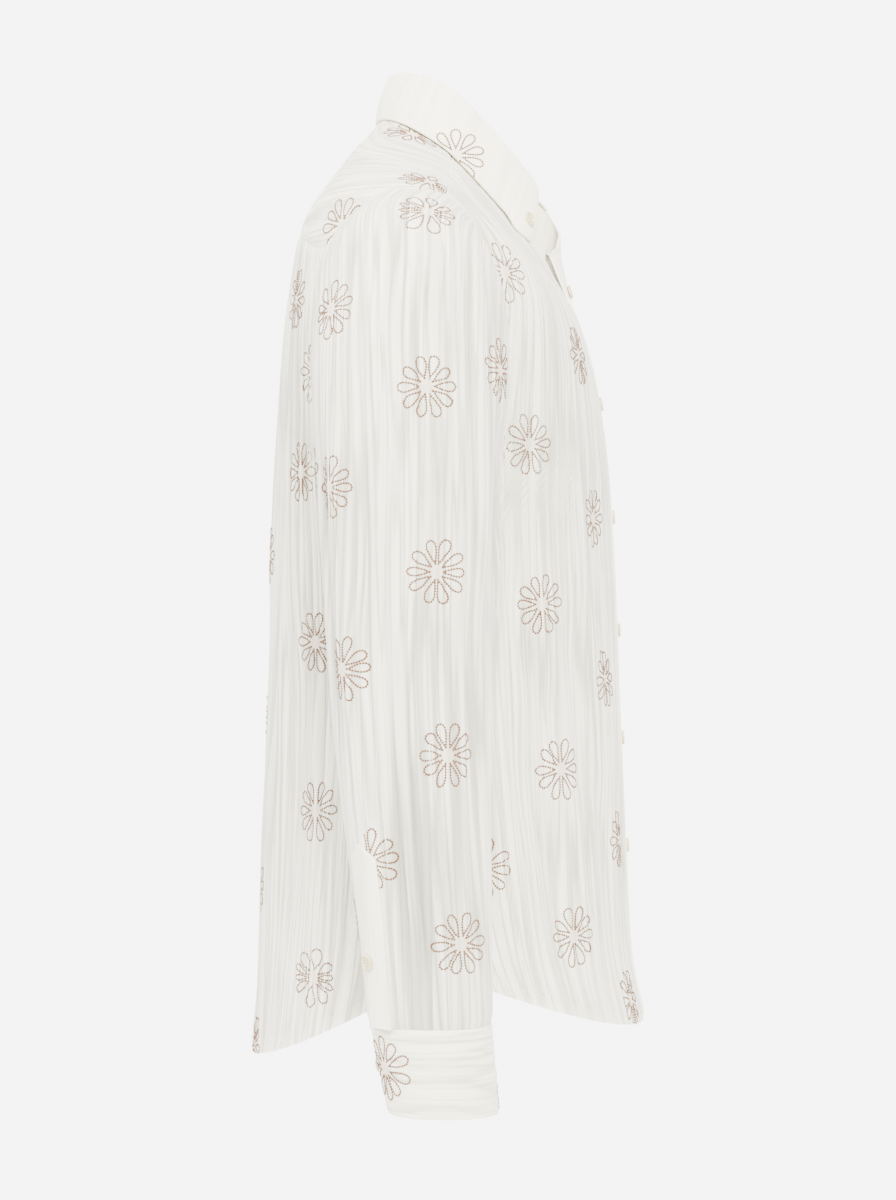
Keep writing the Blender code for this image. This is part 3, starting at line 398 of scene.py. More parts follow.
# y and z round the left armhole
ARMHOLE = (
    (30, -46), (16, -48), (2, -59), (-7.5, -75), (-15, -95), (-20, -116), (-23.6, -138),
    (-25.7, -167), (-25.7, -205), (-20, -235), (-5, -256), (15, -264), (40, -267), (65, -262),
    (85, -248), (100, -222), (108, -190), (112, -150), (111.5, -112), (108.5, -97),
    (104.5, -86), (98, -76), (88, -65.5), (75, -56), (64, -48), (49.5, -45),
)
FRONT_YOKE_CORNER, UNDERARM, BACK_YOKE_CORNER = 1, 12, 20
BACK_YOKE_LEVEL = 5.2  # level of the back yoke seam at the centre back
YOKE_LEVEL_PART = 0.35  # share of the seam, from the centre back, that keeps this level
FRONT_YOKE_NECK = 88.0  # angle in degrees where the front yoke seam meets the neck seam
print("rings of the body:", len(BODY_RINGS))

# %% Soft creases of the body
# Angle in degrees and z of each end, half width and depth
BODY_CREASES = np.array([
    (-66, -300, -55, -470, 16, 5.2),
    (-71, -345, -63, -560, 15, 4.6),
    (-64, -410, -50, -640, 18, 5.5),
    (-47, -330, -41, -520, 20, 3.5),
    (-30, -230, -27, -420, 21, 3.2),
    (-36, -470, -29, -650, 20, 3.8),
    (-18, -440, -16, -650, 18, 2.9),
    (-80, -430, -76, -610, 18, 4.9),
    (66, -290, 54, -480, 16, 4.9),
    (73, -360, 66, -570, 16, 4.6),
    (62, -430, 49, -645, 18, 5.2),
    (45, -320, 38, -500, 20, 3.8),
    (29, -220, 24, -400, 21, 2.9),
    (33, -480, 27, -655, 20, 3.5),
    (17, -430, 19, -640, 18, 2.9),
    (82, -440, 79, -600, 18, 4.6),
    (-104, -300, -109, -590, 20, 4.6),
    (-121, -230, -124, -520, 22, 4.9),
    (-137, -330, -139, -640, 21, 4.6),
    (-154, -170, -156, -500, 24, 4.3),
    (-169, -300, -168, -670, 21, 3.8),
    (176, -190, 178, -540, 22, 3.8),
    (161, -320, 160, -670, 21, 4.3),
    (147, -180, 145, -520, 22, 4.6),
    (131, -320, 130, -640, 21, 4.6),
    (117, -240, 114, -540, 21, 4.9),
    (101, -330, 104, -590, 18, 4.3),
], dtype=float)
BODY_MM_PER_RADIAN = 150.0
print("soft creases of the body:", len(BODY_CREASES))

# %% Curves and normals
def between(zero, one, two, three, t):
    """A smooth curve from one to two at the share t, through the points before and after."""
    return 0.5 * (
        2 * one
        + (two - zero) * t
        + (2 * zero - 5 * one + 4 * two - three) * t**2
        + (3 * one - zero - 3 * two + three) * t**3
    )


def rows(table, at):
    """Read a table between its rows along a smooth curve through them."""
    at = np.clip(np.asarray(at, dtype=float), 0, len(table) - 1)
    index = np.clip(np.floor(at).astype(int), 0, len(table) - 2)
    t = (at - index)[..., None]
    one, two = table[index], table[index + 1]
    first, last = (index == 0)[..., None], (index == len(table) - 2)[..., None]
    zero = np.where(first, 2 * one - two, table[np.maximum(index - 1, 0)])
    three = np.where(last, 2 * two - one, table[np.minimum(index + 2, len(table) - 1)])
    return between(zero, one, two, three, t)


def smooth(low, high, value):
    """0 below low, 1 above high, with a soft step between them."""
    t = np.clip((value - low) / (high - low), 0, 1)
    return t * t * (3 - 2 * t)


def superellipse(angle, fullness):
    """Shares of the half width and of the half depth at an angle from the centre front."""
    s, c = np.sin(angle), np.cos(angle)
    size = (np.abs(s) ** fullness + np.abs(c) ** fullness) ** (1 / fullness)
    return s / size, c / size


def unit(vectors):
    return vectors / np.linalg.norm(vectors, axis=-1, keepdims=True)


def normals(surface, a, b, step=1e-3):
    """Outward unit normals of surface(a, b), where b runs down the garment."""
    along_a = surface(a + step, b) - surface(a - step, b)
    along_b = surface(a, b + step) - surface(a, b - step)
    return unit(np.cross(along_b, along_a))


def crease(across, down, start_a, start_d, end_a, end_d, half, deep):
    """Depth of one soft trough between two points, with a low ridge on both sides."""
    run_a, run_d = end_a - start_a, end_d - start_d
    from_a, from_d = across - start_a, down - start_d
    t = np.clip((from_a * run_a + from_d * run_d) / (run_a**2 + run_d**2), 0, 1)
    off = np.hypot(from_a - t * run_a, from_d - t * run_d) / half
    ends = smooth(0, 0.3, t) * smooth(0, 0.3, 1 - t)
    return deep * ends * (1 - off**2) * np.exp(-(off**2))


def wrapped(angle):
    return (angle + math.pi) % (2 * math.pi) - math.pi


def turns_from(turn, middle):
    """Turns from a middle one, between minus a half and a half."""
    return wrapped((turn - middle) * 2 * math.pi) / (2 * math.pi)


def lengths(points):
    """Distance along a line of points, from its start."""
    steps = np.linalg.norm(np.diff(points, axis=0), axis=1)
    return np.concatenate([[0.0], np.cumsum(steps)])


# %% [markdown]
# The unfastened top of the fronts falls apart a little and turns towards the wearer's right, as
# the top of an open collar does. One function moves the points near the neck, so that the fronts,
# the bands and the collar stay together there.

# %% The body's surface
OPEN_FROM_Z, OPEN_TO_Z = -122.0, -66.0
LEFT_OPENS = (13.0, -2.0)  # x and y move of the left front's top corner
RIGHT_OPENS = (-10.0, 4.0)
NECK_TURN = 0.3  # how far the front bands turn towards the wearer's right at the neck
FALL_FROM_X, FALL_TO_X = 20.0, 60.0  # the fall fades out between these distances
PULL_BACK = 6.0  # the right front's hollow beside the bands
PULL_X, PULL_WIDTH = -44.0, 21.0


def body_form(angle, level):
    """The body's form before any crease: points in millimetres."""
    ring = rows(BODY_RINGS, level)
    front = np.cos(angle) > 0
    wide, deep = superellipse(angle, np.where(front, ring[..., 7], ring[..., 8]))
    deep = np.abs(deep)
    end_y = np.where(front, ring[..., 3], ring[..., 5])
    end_z = np.where(front, ring[..., 4], ring[..., 6])
    x = ring[..., 0] * wide
    y = ring[..., 1] + (end_y - ring[..., 1]) * deep
    z = ring[..., 2] + (end_z - ring[..., 2]) * deep
    return np.stack([x, y, z], axis=-1)


# %% Creases and the open neck
def body_creased(angle, level):
    """The body's form with its soft creases."""
    form = body_form(angle, level)
    depth = np.zeros(form.shape[:-1])
    for start, start_z, end, end_z, half, deep in BODY_CREASES:
        start_arc = math.radians(start) * BODY_MM_PER_RADIAN
        end_arc = math.radians(end) * BODY_MM_PER_RADIAN
        near = start_arc + wrapped(angle - math.radians(start)) * BODY_MM_PER_RADIAN
        depth += crease(near, form[..., 2], start_arc, start_z, end_arc, end_z, half, deep)
    return form - depth[..., None] * normals(body_form, angle, level)


def open_neck(points, side):
    """Let the unfastened top of one front, 1 left or -1 right, fall away from the other."""
    x, y, z = points[..., 0], points[..., 1], points[..., 2]
    near = smooth(OPEN_FROM_Z, OPEN_TO_Z, z) * smooth(FALL_FROM_X, -FALL_FROM_X, y)
    middle = near * (1 - smooth(FALL_FROM_X, FALL_TO_X, np.abs(x)))
    move = LEFT_OPENS if side > 0 else RIGHT_OPENS
    turned = x + move[0] * middle
    turn = -NECK_TURN * np.clip(turned, -BAND_SEAM, BAND_SEAM) * middle
    hollow = PULL_BACK * near * np.exp(-(((x - PULL_X) / PULL_WIDTH) ** 2))
    shift = np.stack([move[0] * middle, move[1] * middle + turn + hollow, 0 * x], axis=-1)
    return points + shift


def body(angle, level, side, lift=0.0):
    """A point of the finished body, on the front of the given side, raised by a lift."""
    points = body_creased(angle, level)
    raised = np.asarray(lift)[..., None] * normals(body_form, angle, level)
    return open_neck(points + raised, side)


def left_lift(angle, level):
    """The left front rises over the right one beside the centre front."""
    x = body_form(angle, level)[..., 0]
    return LAP * (1 - smooth(BAND_HALF, LAP_FADE_X, x))


def left_body(angle, level, lift=0.0):
    return body(angle, level, 1, left_lift(angle, level) + lift)


def right_body(angle, level, lift=0.0):
    return body(angle, level, -1, lift)


centre_back = body_form(np.full(300, math.pi), np.linspace(NECK, HEM, 300))
print("centre back length:", round(float(lengths(centre_back)[-1])), "mm")

# %% [markdown]
# The armhole is a closed seam, drawn from the side. Newton's method finds the angle and level of
# each of its points, because the form gives points from angles and not the other way round.

# %% The armhole
def locate(y, z):
    """Angle and level of the points of the left half that have this y and z (Newton)."""
    all_angles, all_levels = np.radians(np.arange(4, 177, 2)), np.arange(0, HEM + 0.01, 0.1)
    angles, levels = np.meshgrid(all_angles, all_levels, indexing="ij")
    grid = body_form(angles, levels)
    far = (grid[..., 1] - y[:, None, None]) ** 2 + (grid[..., 2] - z[:, None, None]) ** 2
    start = far.reshape(len(y), -1).argmin(axis=1)
    angle, level = angles.ravel()[start], levels.ravel()[start]
    step = 1e-4
    for _ in range(30):
        error = np.stack([y, z], axis=-1) - body_form(angle, level)[:, 1:]
        by_angle = (body_form(angle + step, level) - body_form(angle - step, level))[:, 1:]
        by_level = (body_form(angle, level + step) - body_form(angle, level - step))[:, 1:]
        matrix = np.stack([by_angle, by_level], axis=-1) / (2 * step)
        move = np.linalg.solve(matrix, error[..., None])[..., 0]
        angle = angle + np.clip(move[:, 0], -0.15, 0.15)
        level = np.clip(level + np.clip(move[:, 1], -0.4, 0.4), 0, HEM)
    return angle, level


def evenly(angle, level, count):
    """Count + 1 points at even steps along a line on the body, as angle and level pairs."""
    run = lengths(body_form(angle, level))
    at = np.linspace(0, run[-1], count + 1)
    return np.stack([np.interp(at, run, angle), np.interp(at, run, level)], axis=-1)


def closed_curve(points, steps):
    """A smooth closed curve through the points, with this many steps between two of them."""
    ring = np.array(points, dtype=float)
    extended = np.concatenate([ring[-1:], ring, ring[:2]])
    at = 1 + np.arange(len(ring) * steps) / steps
    return rows(extended, at)


# %% The armhole seam
ARMHOLE_STEPS = 12
seam_points = closed_curve(ARMHOLE, ARMHOLE_STEPS)
seam_angle, seam_level = locate(seam_points[:, 0], seam_points[:, 1])
seam_angle, seam_level = np.append(seam_angle, seam_angle[0]), np.append(seam_level, seam_level[0])
seam_run = lengths(body_form(seam_angle, seam_level))
run_under = seam_run[UNDERARM * ARMHOLE_STEPS]
seam_turn = np.where(
    seam_run <= run_under,
    0.5 * seam_run / run_under,
    0.5 + 0.5 * (seam_run - run_under) / (seam_run[-1] - run_under),
)
FRONT_CORNER = seam_turn[FRONT_YOKE_CORNER * ARMHOLE_STEPS]
BACK_CORNER = seam_turn[BACK_YOKE_CORNER * ARMHOLE_STEPS]


def armhole(turn):
    """Angle and level of the armhole seam, as pairs, at a turn of the sleeve."""
    turn = np.asarray(turn) % 1.0
    angle, level = np.interp(turn, seam_turn, seam_angle), np.interp(turn, seam_turn, seam_level)
    return np.stack([angle, level], axis=-1)


print("length of the armhole seam:", round(float(seam_run[-1])), "mm")

# %% [markdown]
# ## The sleeve
#
# A sleeve is a tube, ringed from the armhole down to the cuff. Its turn is 0 on the outside, a
# quarter at the front, a half on the inside and three quarters at the back.

# %% Rings of the sleeve
# x and z of the inside and of the outside, y of the front and of the back
SLEEVE_RINGS = np.array([
    (-199, -272, -243, -62, -29, 112),
    (-203, -280, -272, -98, -27, 110),
    (-206, -292, -290, -148, -24.5, 108),
    (-208, -310, -299, -212, -23.5, 105.5),
    (-209, -345, -301, -290, -21, 102),
    (-209, -400, -299, -370, -15, 98),
    (-209, -460, -296, -445, -14, 92),
    (-211, -520, -292, -515, -15, 84),
    (-213, -580, -288, -580, -16, 76),
    (-215, -640, -284, -640, -16.5, 70),
], dtype=float)
SLEEVE_END = len(SLEEVE_RINGS)  # the armhole is ring 0, so the last table row is this ring
SLEEVE_FULLNESS = 2.3
SLEEVE_LEVELS = (0, 0.4, 1, 1.7, 2.4, 3.1, 4, 4.7, 5.4, 6, 6.6, 7.2, 7.8, 8.4, 9, 9.5, 10)
# Turn and ring of each end, half width and depth in mm
SLEEVE_CREASES = np.array([
    (0.94, 5.0, 0.965, 9.9, 13, 6.4),
    (0.99, 6.3, 0.995, 9.9, 8, 5.9),
    (0.05, 3.6, 0.07, 7.6, 11, 2.8),
    (0.90, 3.0, 0.925, 7.4, 13, 3.6),
    (0.80, 3.2, 0.80, 7.6, 14, 3.4),
    (0.13, 4.4, 0.14, 9.0, 11, 3.1),
    (0.21, 2.6, 0.20, 6.4, 14, 3.6),
    (0.30, 4.0, 0.31, 9.2, 13, 3.6),
    (0.42, 3.4, 0.41, 8.6, 14, 4.2),
    (0.57, 3.6, 0.58, 8.8, 14, 4.2),
    (0.69, 4.0, 0.68, 9.4, 13, 3.9),
], dtype=float)
SLEEVE_MM_PER_TURN = 300.0
SLEEVE_MM_PER_RING = 66.0
PLACKET_TURN, PLACKET_HALF, PLACKET_PEAK = 0.858, 0.043, 7.93
PLACKET_POINT = 0.16  # rings between the peak and the strip's upper corners
PLACKET_LIFT = REST + 0.4 + DOUBLE  # outer face of the strip above the sleeve's
print("rings of the sleeve:", len(SLEEVE_RINGS), "and its soft creases:", len(SLEEVE_CREASES))

# %% The sleeve's surface
def sleeve_form(turn, ring):
    """The right sleeve before any crease, from the armhole (ring 0) to the cuff seam."""
    turn, ring = np.broadcast_arrays(np.asarray(turn, float), np.asarray(ring, float))
    seam = armhole(turn)
    start = body_creased(seam[..., 0], seam[..., 1]) * (-1, 1, 1)
    wide, deep = superellipse(2 * math.pi * turn, SLEEVE_FULLNESS)
    stations = [start]
    for inner_x, inner_z, outer_x, outer_z, front_y, back_y in SLEEVE_RINGS:
        x = (inner_x + outer_x) / 2 + (outer_x - inner_x) / 2 * deep
        y = (front_y + back_y) / 2 + (front_y - back_y) / 2 * wide
        z = (inner_z + outer_z) / 2 + (outer_z - inner_z) / 2 * deep
        stations.append(np.stack([x, y, z], axis=-1))
    stations = np.stack(stations)
    ring = np.clip(ring, 0, SLEEVE_END)
    index = np.clip(np.floor(ring).astype(int), 0, SLEEVE_END - 1)
    t = (ring - index)[..., None]

    def station(number):
        number = np.clip(number, 0, SLEEVE_END)
        return np.take_along_axis(stations, number[None, ..., None], axis=0)[0]

    one, two = station(index), station(index + 1)
    zero = np.where((index == 0)[..., None], 2 * one - two, station(index - 1))
    three = np.where((index == SLEEVE_END - 1)[..., None], 2 * two - one, station(index + 2))
    return between(zero, one, two, three, t)


def sleeve_normals(turn, ring):
    """Outward normals of the right sleeve, one-sided at its two ends."""
    h = 2e-3
    upper, lower = np.clip(ring - h, 0, SLEEVE_END), np.clip(ring + h, 0, SLEEVE_END)
    around = sleeve_form(turn + h, ring) - sleeve_form(turn - h, ring)
    down = sleeve_form(turn, lower) - sleeve_form(turn, upper)
    return unit(np.cross(down, around))


# %% The sleeve with its creases
def sleeve_crease(turn, ring, row):
    """Depth of one crease of the sleeve, whose ends are given in turns and rings."""
    scale = (SLEEVE_MM_PER_TURN, SLEEVE_MM_PER_RING)
    near = turns_from(turn, row[0]) + row[0]
    ends = [value * length for value, length in zip(row[:4], scale * 2)]
    return crease(near * scale[0], ring * scale[1], *ends, *row[4:])


def sleeve(turn, ring, lift=0.0):
    """The right sleeve with its creases, flat under the placket's strip."""
    turn, ring = np.broadcast_arrays(np.asarray(turn, float), np.asarray(ring, float))
    depth = np.zeros(turn.shape)
    for row in SLEEVE_CREASES:
        depth += sleeve_crease(turn, ring, row)
    from_placket = np.abs(turns_from(turn, PLACKET_TURN))
    under_placket = smooth(PLACKET_PEAK - 0.6, PLACKET_PEAK, ring)
    depth *= 1 - under_placket * (1 - smooth(PLACKET_HALF, 2 * PLACKET_HALF, from_placket))
    return sleeve_form(turn, ring) + (lift - depth)[..., None] * sleeve_normals(turn, ring)


def mirrored(points):
    return points * (-1, 1, 1)

# %% [markdown]
# ## Flat cloth
#
# A pattern follows the cloth and not the body under it, so each point needs its place on the flat
# cut. Lengths measured round the body and down it, at rest, give that place: a table of them is
# made once and read between its rows.

# %% Flat places on the body
TABLE_ANGLES = np.radians(np.linspace(0, 180, 361))
TABLE_LEVELS = np.linspace(0, HEM, 261)
LEVEL_OF_REFERENCE = 8.0  # at this ring the place down the cloth is the height below the neck


def table_of(points, axis):
    """Lengths along one direction of a grid of points, from its start."""
    total = np.cumsum(np.linalg.norm(np.diff(points, axis=axis), axis=-1), axis=axis)
    start = np.zeros_like(np.take(total, [0], axis=axis))
    return np.concatenate([start, total], axis=axis)


def read_table(table, row, column):
    """Value of a table between its rows and columns."""
    row = np.clip(row, 0, table.shape[0] - 1.001)
    column = np.clip(column, 0, table.shape[1] - 1.001)
    i, j = row.astype(int), column.astype(int)
    a, b = row - i, column - j
    return (
        table[i, j] * (1 - a) * (1 - b)
        + table[i + 1, j] * a * (1 - b)
        + table[i, j + 1] * (1 - a) * b
        + table[i + 1, j + 1] * a * b
    )


body_grid = body_form(*np.meshgrid(TABLE_ANGLES, TABLE_LEVELS, indexing="ij"))
AROUND, from_neck = table_of(body_grid, 0), table_of(body_grid, 1)
reference = int(LEVEL_OF_REFERENCE / HEM * (len(TABLE_LEVELS) - 1))
DOWN = from_neck - from_neck[:, [reference]] - body_grid[:, [reference], 2]


def body_cut(angle, level, from_back=False):
    """Place on the flat cloth in mm: across from the centre front or back, and down."""
    turned = wrapped(angle)
    row = np.abs(turned) / math.pi * (len(TABLE_ANGLES) - 1)
    column = level / HEM * (len(TABLE_LEVELS) - 1)
    across = read_table(AROUND, row, column)
    if from_back:
        half_round = read_table(AROUND, np.full_like(row, len(TABLE_ANGLES) - 1.0), column)
        across = across - half_round
    return np.sign(turned) * across, read_table(DOWN, row, column)


# %% Flat places on the sleeve
TABLE_TURNS = np.linspace(-0.5, 0.5, 301)
TABLE_RINGS = np.linspace(0, SLEEVE_END, 201)
sleeve_grid = sleeve_form(*np.meshgrid(TABLE_TURNS, TABLE_RINGS, indexing="ij"))
SLEEVE_AROUND = table_of(sleeve_grid, 0)
SLEEVE_AROUND -= SLEEVE_AROUND[[len(TABLE_TURNS) // 2]]
SLEEVE_DOWN = table_of(sleeve_grid, 1)


def sleeve_cut(turn, ring):
    """Place on the flat sleeve in mm: across from its outside, and down from its cap."""
    row = (np.asarray(turn) + 0.5) % 1.0 * (len(TABLE_TURNS) - 1)
    column = np.asarray(ring) / SLEEVE_END * (len(TABLE_RINGS) - 1)
    return read_table(SLEEVE_AROUND, row, column), read_table(SLEEVE_DOWN, row, column)


print("sleeve girth at the cuff:", round(float(np.ptp(SLEEVE_AROUND[:, -1]))), "mm")

# %% [markdown]
# ## Crinkle
#
# The creases of this cotton run along its threads, wander a little, end and start again. Contour
# lines of a stretched random field do just that. The field is a grid of random numbers with a
# smooth curve between them, and a crease is where it passes through one half. A second, finer
# field and a slow swell break up the regularity. Random numbers come from a fixed seed, so every
# run gives the same cloth.


# %% Random fields and crinkle
def field(across, down, seed, size=97):
    """Smooth random values from 0 to 1 over a plane, one cell a unit wide."""
    values = np.random.default_rng(seed).random((size, size))
    i, j = np.floor(across).astype(int), np.floor(down).astype(int)
    a, b = across - i, down - j
    a, b = a * a * (3 - 2 * a), b * b * (3 - 2 * b)

    def at(di, dj):
        return values[(i + di) % size, (j + dj) % size]

    low = at(0, 0) * (1 - a) + at(1, 0) * a
    high = at(0, 1) * (1 - a) + at(1, 1) * a
    return low * (1 - b) + high * b


CREASE_PITCH = 4.2  # mm between the creases, about
CREASE_RUN = 150.0  # mm that a crease keeps its line for


def crinkle(across, down, seed, pitch=CREASE_PITCH, run=CREASE_RUN):
    """Height in mm of the crinkled cloth, and 0 to 1 for how deep in a crease a point lies, which sets
    the painted shade there.
    """
    wander = 6.0 * field(across / 34, down / 75, seed) + 1.6 * field(across / 9, down / 26, seed + 1)
    main = field((across + wander) / pitch, down / run, seed + 2)
    second = field((across + 0.6 * wander) / (0.62 * pitch), down / (0.7 * run), seed + 3)
    crease_main = np.exp(-(((main - 0.5) / 0.12) ** 2))
    crease_second = np.exp(-(((second - 0.5) / 0.14) ** 2))
    strength = 0.6 + 0.7 * field(across / 42, down / 95, seed + 4)
    swell = field((across + wander) / 13, down / 150, seed + 5) - 0.5
    valley = np.clip((0.75 * crease_main + 0.35 * crease_second) * strength, 0, 1)
    height = 1.2 * swell - 0.9 * strength * crease_main - 0.3 * strength * crease_second
    return height + 0.3, valley


# %% [markdown]
# ## From a coarse grid to fine cloth
#
# Each panel is a patch between its seams. The patch is laid out once on a coarse grid of angles
# and levels, the same as the frame's, and the points between are read along smooth curves. The
# curves are cut where a seam turns a corner, so the corner stays sharp.

# %% Steps of the seams
SIDE_STEPS, ARM_FRONT, ARM_BACK, ARM_YOKE = 11, 13, 13, 5
CENTRE_STEPS, NECK_STEPS = 18, 6
FRONT_COLUMNS, BACK_COLUMNS, YOKE_ROWS = 16, 20, 8
RELAX_STEPS = 2  # smoothing passes over a patch's inner points


def patch(bottom, top, left, right):
    """Fill the grid between four lines of angle and level pairs.

    It starts as a Coons patch, and is then relaxed, which opens out the cells that the turn
    of the seam at the underarm squeezes.
    """
    v = np.linspace(0, 1, len(left))[:, None, None]
    u = np.linspace(0, 1, len(bottom))[None, :, None]
    sides = (1 - u) * left[:, None] + u * right[:, None]
    ends = (1 - v) * bottom[None] + v * top[None]
    corners = (
        (1 - u) * (1 - v) * bottom[0]
        + u * (1 - v) * bottom[-1]
        + (1 - u) * v * top[0]
        + u * v * top[-1]
    )
    grid = sides + ends - corners
    for _ in range(RELAX_STEPS):
        around = grid[:-2, 1:-1] + grid[2:, 1:-1] + grid[1:-1, :-2] + grid[1:-1, 2:]
        grid[1:-1, 1:-1] = around / 4
    return grid[..., 0], grid[..., 1]


def angle_at(x, level):
    """Angle of the front's point at this distance from the centre front."""
    ring = rows(BODY_RINGS, level)
    wide = np.abs(x) / ring[..., 0]
    deep = (1 - wide ** ring[..., 7]) ** (1 / ring[..., 7])
    return np.sign(x) * np.arctan2(wide, deep)


# %% Lines of the seams
def centre_line(x):
    """Angle and level pairs up a line beside the centre front, from the hem to the neck."""
    level = np.linspace(HEM, NECK, 200)
    return evenly(angle_at(x, level), level, CENTRE_STEPS)


def neck_line(start, stop, count):
    """Angle and level pairs along the neck seam."""
    angle = np.linspace(start, stop, 120)
    return evenly(angle, np.zeros_like(angle), count)


def side_seam():
    """Angle and level pairs up the side seam, from the hem to the armhole."""
    seam = evenly(np.full(60, math.pi / 2), np.linspace(HEM, armhole(0.5)[1], 60), SIDE_STEPS)
    seam[-1] = armhole(0.5)
    return seam


def front_patch(seam_x):
    """Angles and levels of the left front, from a seam beside the centre to the side."""
    centre = centre_line(seam_x)
    neck_end = math.radians(FRONT_YOKE_NECK)
    neck = neck_line(centre[-1, 0], neck_end, NECK_STEPS)
    arm = armhole(np.linspace(0.5, FRONT_CORNER, ARM_FRONT + 1))
    hem_angle = np.linspace(centre[0, 0], math.pi / 2, 80)
    hem = evenly(hem_angle, np.full(80, float(HEM)), FRONT_COLUMNS)
    left = np.concatenate([centre, neck[1:]])
    right = np.concatenate([side_seam(), arm[1:]])
    top = yoke_front_seam(FRONT_COLUMNS)
    return patch(hem, top, left, right)


def yoke_front_seam(count):
    """The front yoke seam, from the neck out to the armhole."""
    end = armhole(FRONT_CORNER)
    t = np.linspace(0, 1, 60)
    angle = math.radians(FRONT_YOKE_NECK) * (1 - t) + end[0] * t
    return evenly(angle, end[1] * t, count)


def yoke_back_seam():
    """The back yoke seam, from the left armhole over the centre back to the right one."""
    end = armhole(BACK_CORNER)
    t = np.linspace(-1, 1, 121)
    angle = math.pi + t * (math.pi - end[0])
    level = BACK_YOKE_LEVEL + (end[1] - BACK_YOKE_LEVEL) * smooth(YOKE_LEVEL_PART, 1, np.abs(t))
    return evenly(angle, level, BACK_COLUMNS)


def opposite(pairs):
    """The same line on the wearer's right, run the other way."""
    return np.stack([2 * math.pi - pairs[::-1, 0], pairs[::-1, 1]], axis=-1)


# %% Refining a grid
def refine_rows(grid, corners, steps):
    """Points between the rows of a grid, along curves that are cut at the corners."""
    table, parts = grid.reshape(len(grid), -1), []
    for start, stop in zip(corners[:-1], corners[1:]):
        at = np.arange((stop - start) * steps + 1) / steps
        part = rows(table[start : stop + 1], at)
        parts.append(part if stop == corners[-1] else part[:-1])
    return np.concatenate(parts).reshape(-1, *grid.shape[1:])


def refine(angle, level, row_corners, row_steps, column_corners, column_steps):
    grid = np.stack([angle, level], axis=-1)
    grid = refine_rows(grid, row_corners, row_steps)
    grid = refine_rows(grid.transpose(1, 0, 2), column_corners, column_steps).transpose(1, 0, 2)
    return grid[..., 0], grid[..., 1]


# %% [markdown]
# The cloth itself is a shell: an outer grid, the same grid half a millimetre further in, and a
# rim that joins them. A real seam draws the cloth in along its line, so both panels dip there,
# and that groove also hides where one mesh ends and the next begins.

# %% Making a shell
GAUZE = 0.5  # mm, thickness of the cotton
SEAM_DIP = 0.7  # mm that a seam draws the cloth in
SEAM_REACH = 2.2  # mm to each side that the seam's dip fades over


def edge_distance(points, edge):
    """Distance in mm over the cloth from one edge of its grid: top, bottom, first or last."""
    if edge in ("first", "last"):
        flipped = points.transpose(1, 0, 2)
        return edge_distance(flipped, "top" if edge == "first" else "bottom").T
    steps = np.linalg.norm(np.diff(points, axis=0), axis=-1)
    zero = np.zeros_like(steps[:1])
    if edge == "top":
        return np.concatenate([zero, np.cumsum(steps, axis=0)])
    return np.concatenate([np.cumsum(steps[::-1], axis=0)[::-1], zero])


def grid_normals(points, like):
    """Unit normals of a grid, all to the side that most of them share with like."""
    made = unit(np.cross(np.gradient(points, axis=0), np.gradient(points, axis=1)))
    return made * np.sign((made * like).sum())


def quads_of(index):
    """The four-sided faces of a grid of point numbers."""
    corners = (index[:-1, :-1], index[:-1, 1:], index[1:, 1:], index[1:, :-1])
    return np.stack(corners, axis=-1).reshape(-1, 4)


def shell(name, outer, outward, cut, material, thickness=GAUZE, tube=False, valley=0.0, double=0.0):
    """A piece of cloth as one closed mesh, with its flat cut as the UV map."""
    height, width = outer.shape[:2]
    inner = outer - thickness * outward
    columns = width - 1 if tube else width
    index = np.arange(height * columns).reshape(height, columns)
    if tube:
        index = np.concatenate([index, index[:, :1]], axis=1)
    layer = height * columns
    vertices = np.concatenate([outer[:, :columns].reshape(-1, 3), inner[:, :columns].reshape(-1, 3)])
    number = np.arange(height * width).reshape(height, width)
    quads, flat = quads_of(index), quads_of(number)
    first = vertices[quads[:, 1]] - vertices[quads[:, 0]]
    second = vertices[quads[:, 3]] - vertices[quads[:, 0]]
    facing = np.cross(first, second) * outward[:-1, :-1].reshape(-1, 3)
    rims, rim_flat = [], []
    lines = [(index[0], number[0]), (index[-1][::-1], number[-1][::-1])]
    if not tube:
        lines += [(index[:, 0][::-1], number[:, 0][::-1]), (index[:, -1], number[:, -1])]
    for line, places in lines:
        a, b = line[:-1], line[1:]
        rims.append(np.stack([b, a, a + layer, b + layer], axis=-1))
        rim_flat.append(np.stack([places[1:], places[:-1], places[:-1], places[1:]], axis=-1))
    rims, rim_flat = np.concatenate(rims), np.concatenate(rim_flat)
    if facing.sum() < 0:  # the grid runs the other way round, so every face is turned over
        quads, flat, rims, rim_flat = (part[:, ::-1] for part in (quads, flat, rims, rim_flat))
    faces = np.concatenate([quads, quads[:, ::-1] + layer, rims])
    places = np.concatenate([flat, flat[:, ::-1], rim_flat])
    mesh = bpy.data.meshes.new(name)
    mesh.from_pydata((vertices * MM).tolist(), [], faces.tolist())
    uv = mesh.uv_layers.new(name="cut")
    uv.data.foreach_set("uv", (cut.reshape(-1, 2)[places.reshape(-1)] * MM).ravel())
    # The material's two point values: painted crease shade, and how double the cloth lies.
    for key, values in (("valley", valley), ("double", double)):
        once = np.broadcast_to(values, outer.shape[:2])[:, :columns].ravel()
        layer_data = mesh.attributes.new(key, "FLOAT", "POINT")
        layer_data.data.foreach_set("value", np.concatenate([once, once]))
    mesh.shade_smooth()
    mesh.set_sharp_from_angle(angle=math.radians(60))
    mesh.materials.append(material)
    return add_object(name, mesh)


# %% Attaching a piece of cloth
def finish_cloth(piece, node):
    """Hang this piece on the frame's root body, and hide the frame's plain piece that it replaces."""
    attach(piece, "root")
    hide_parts(node)


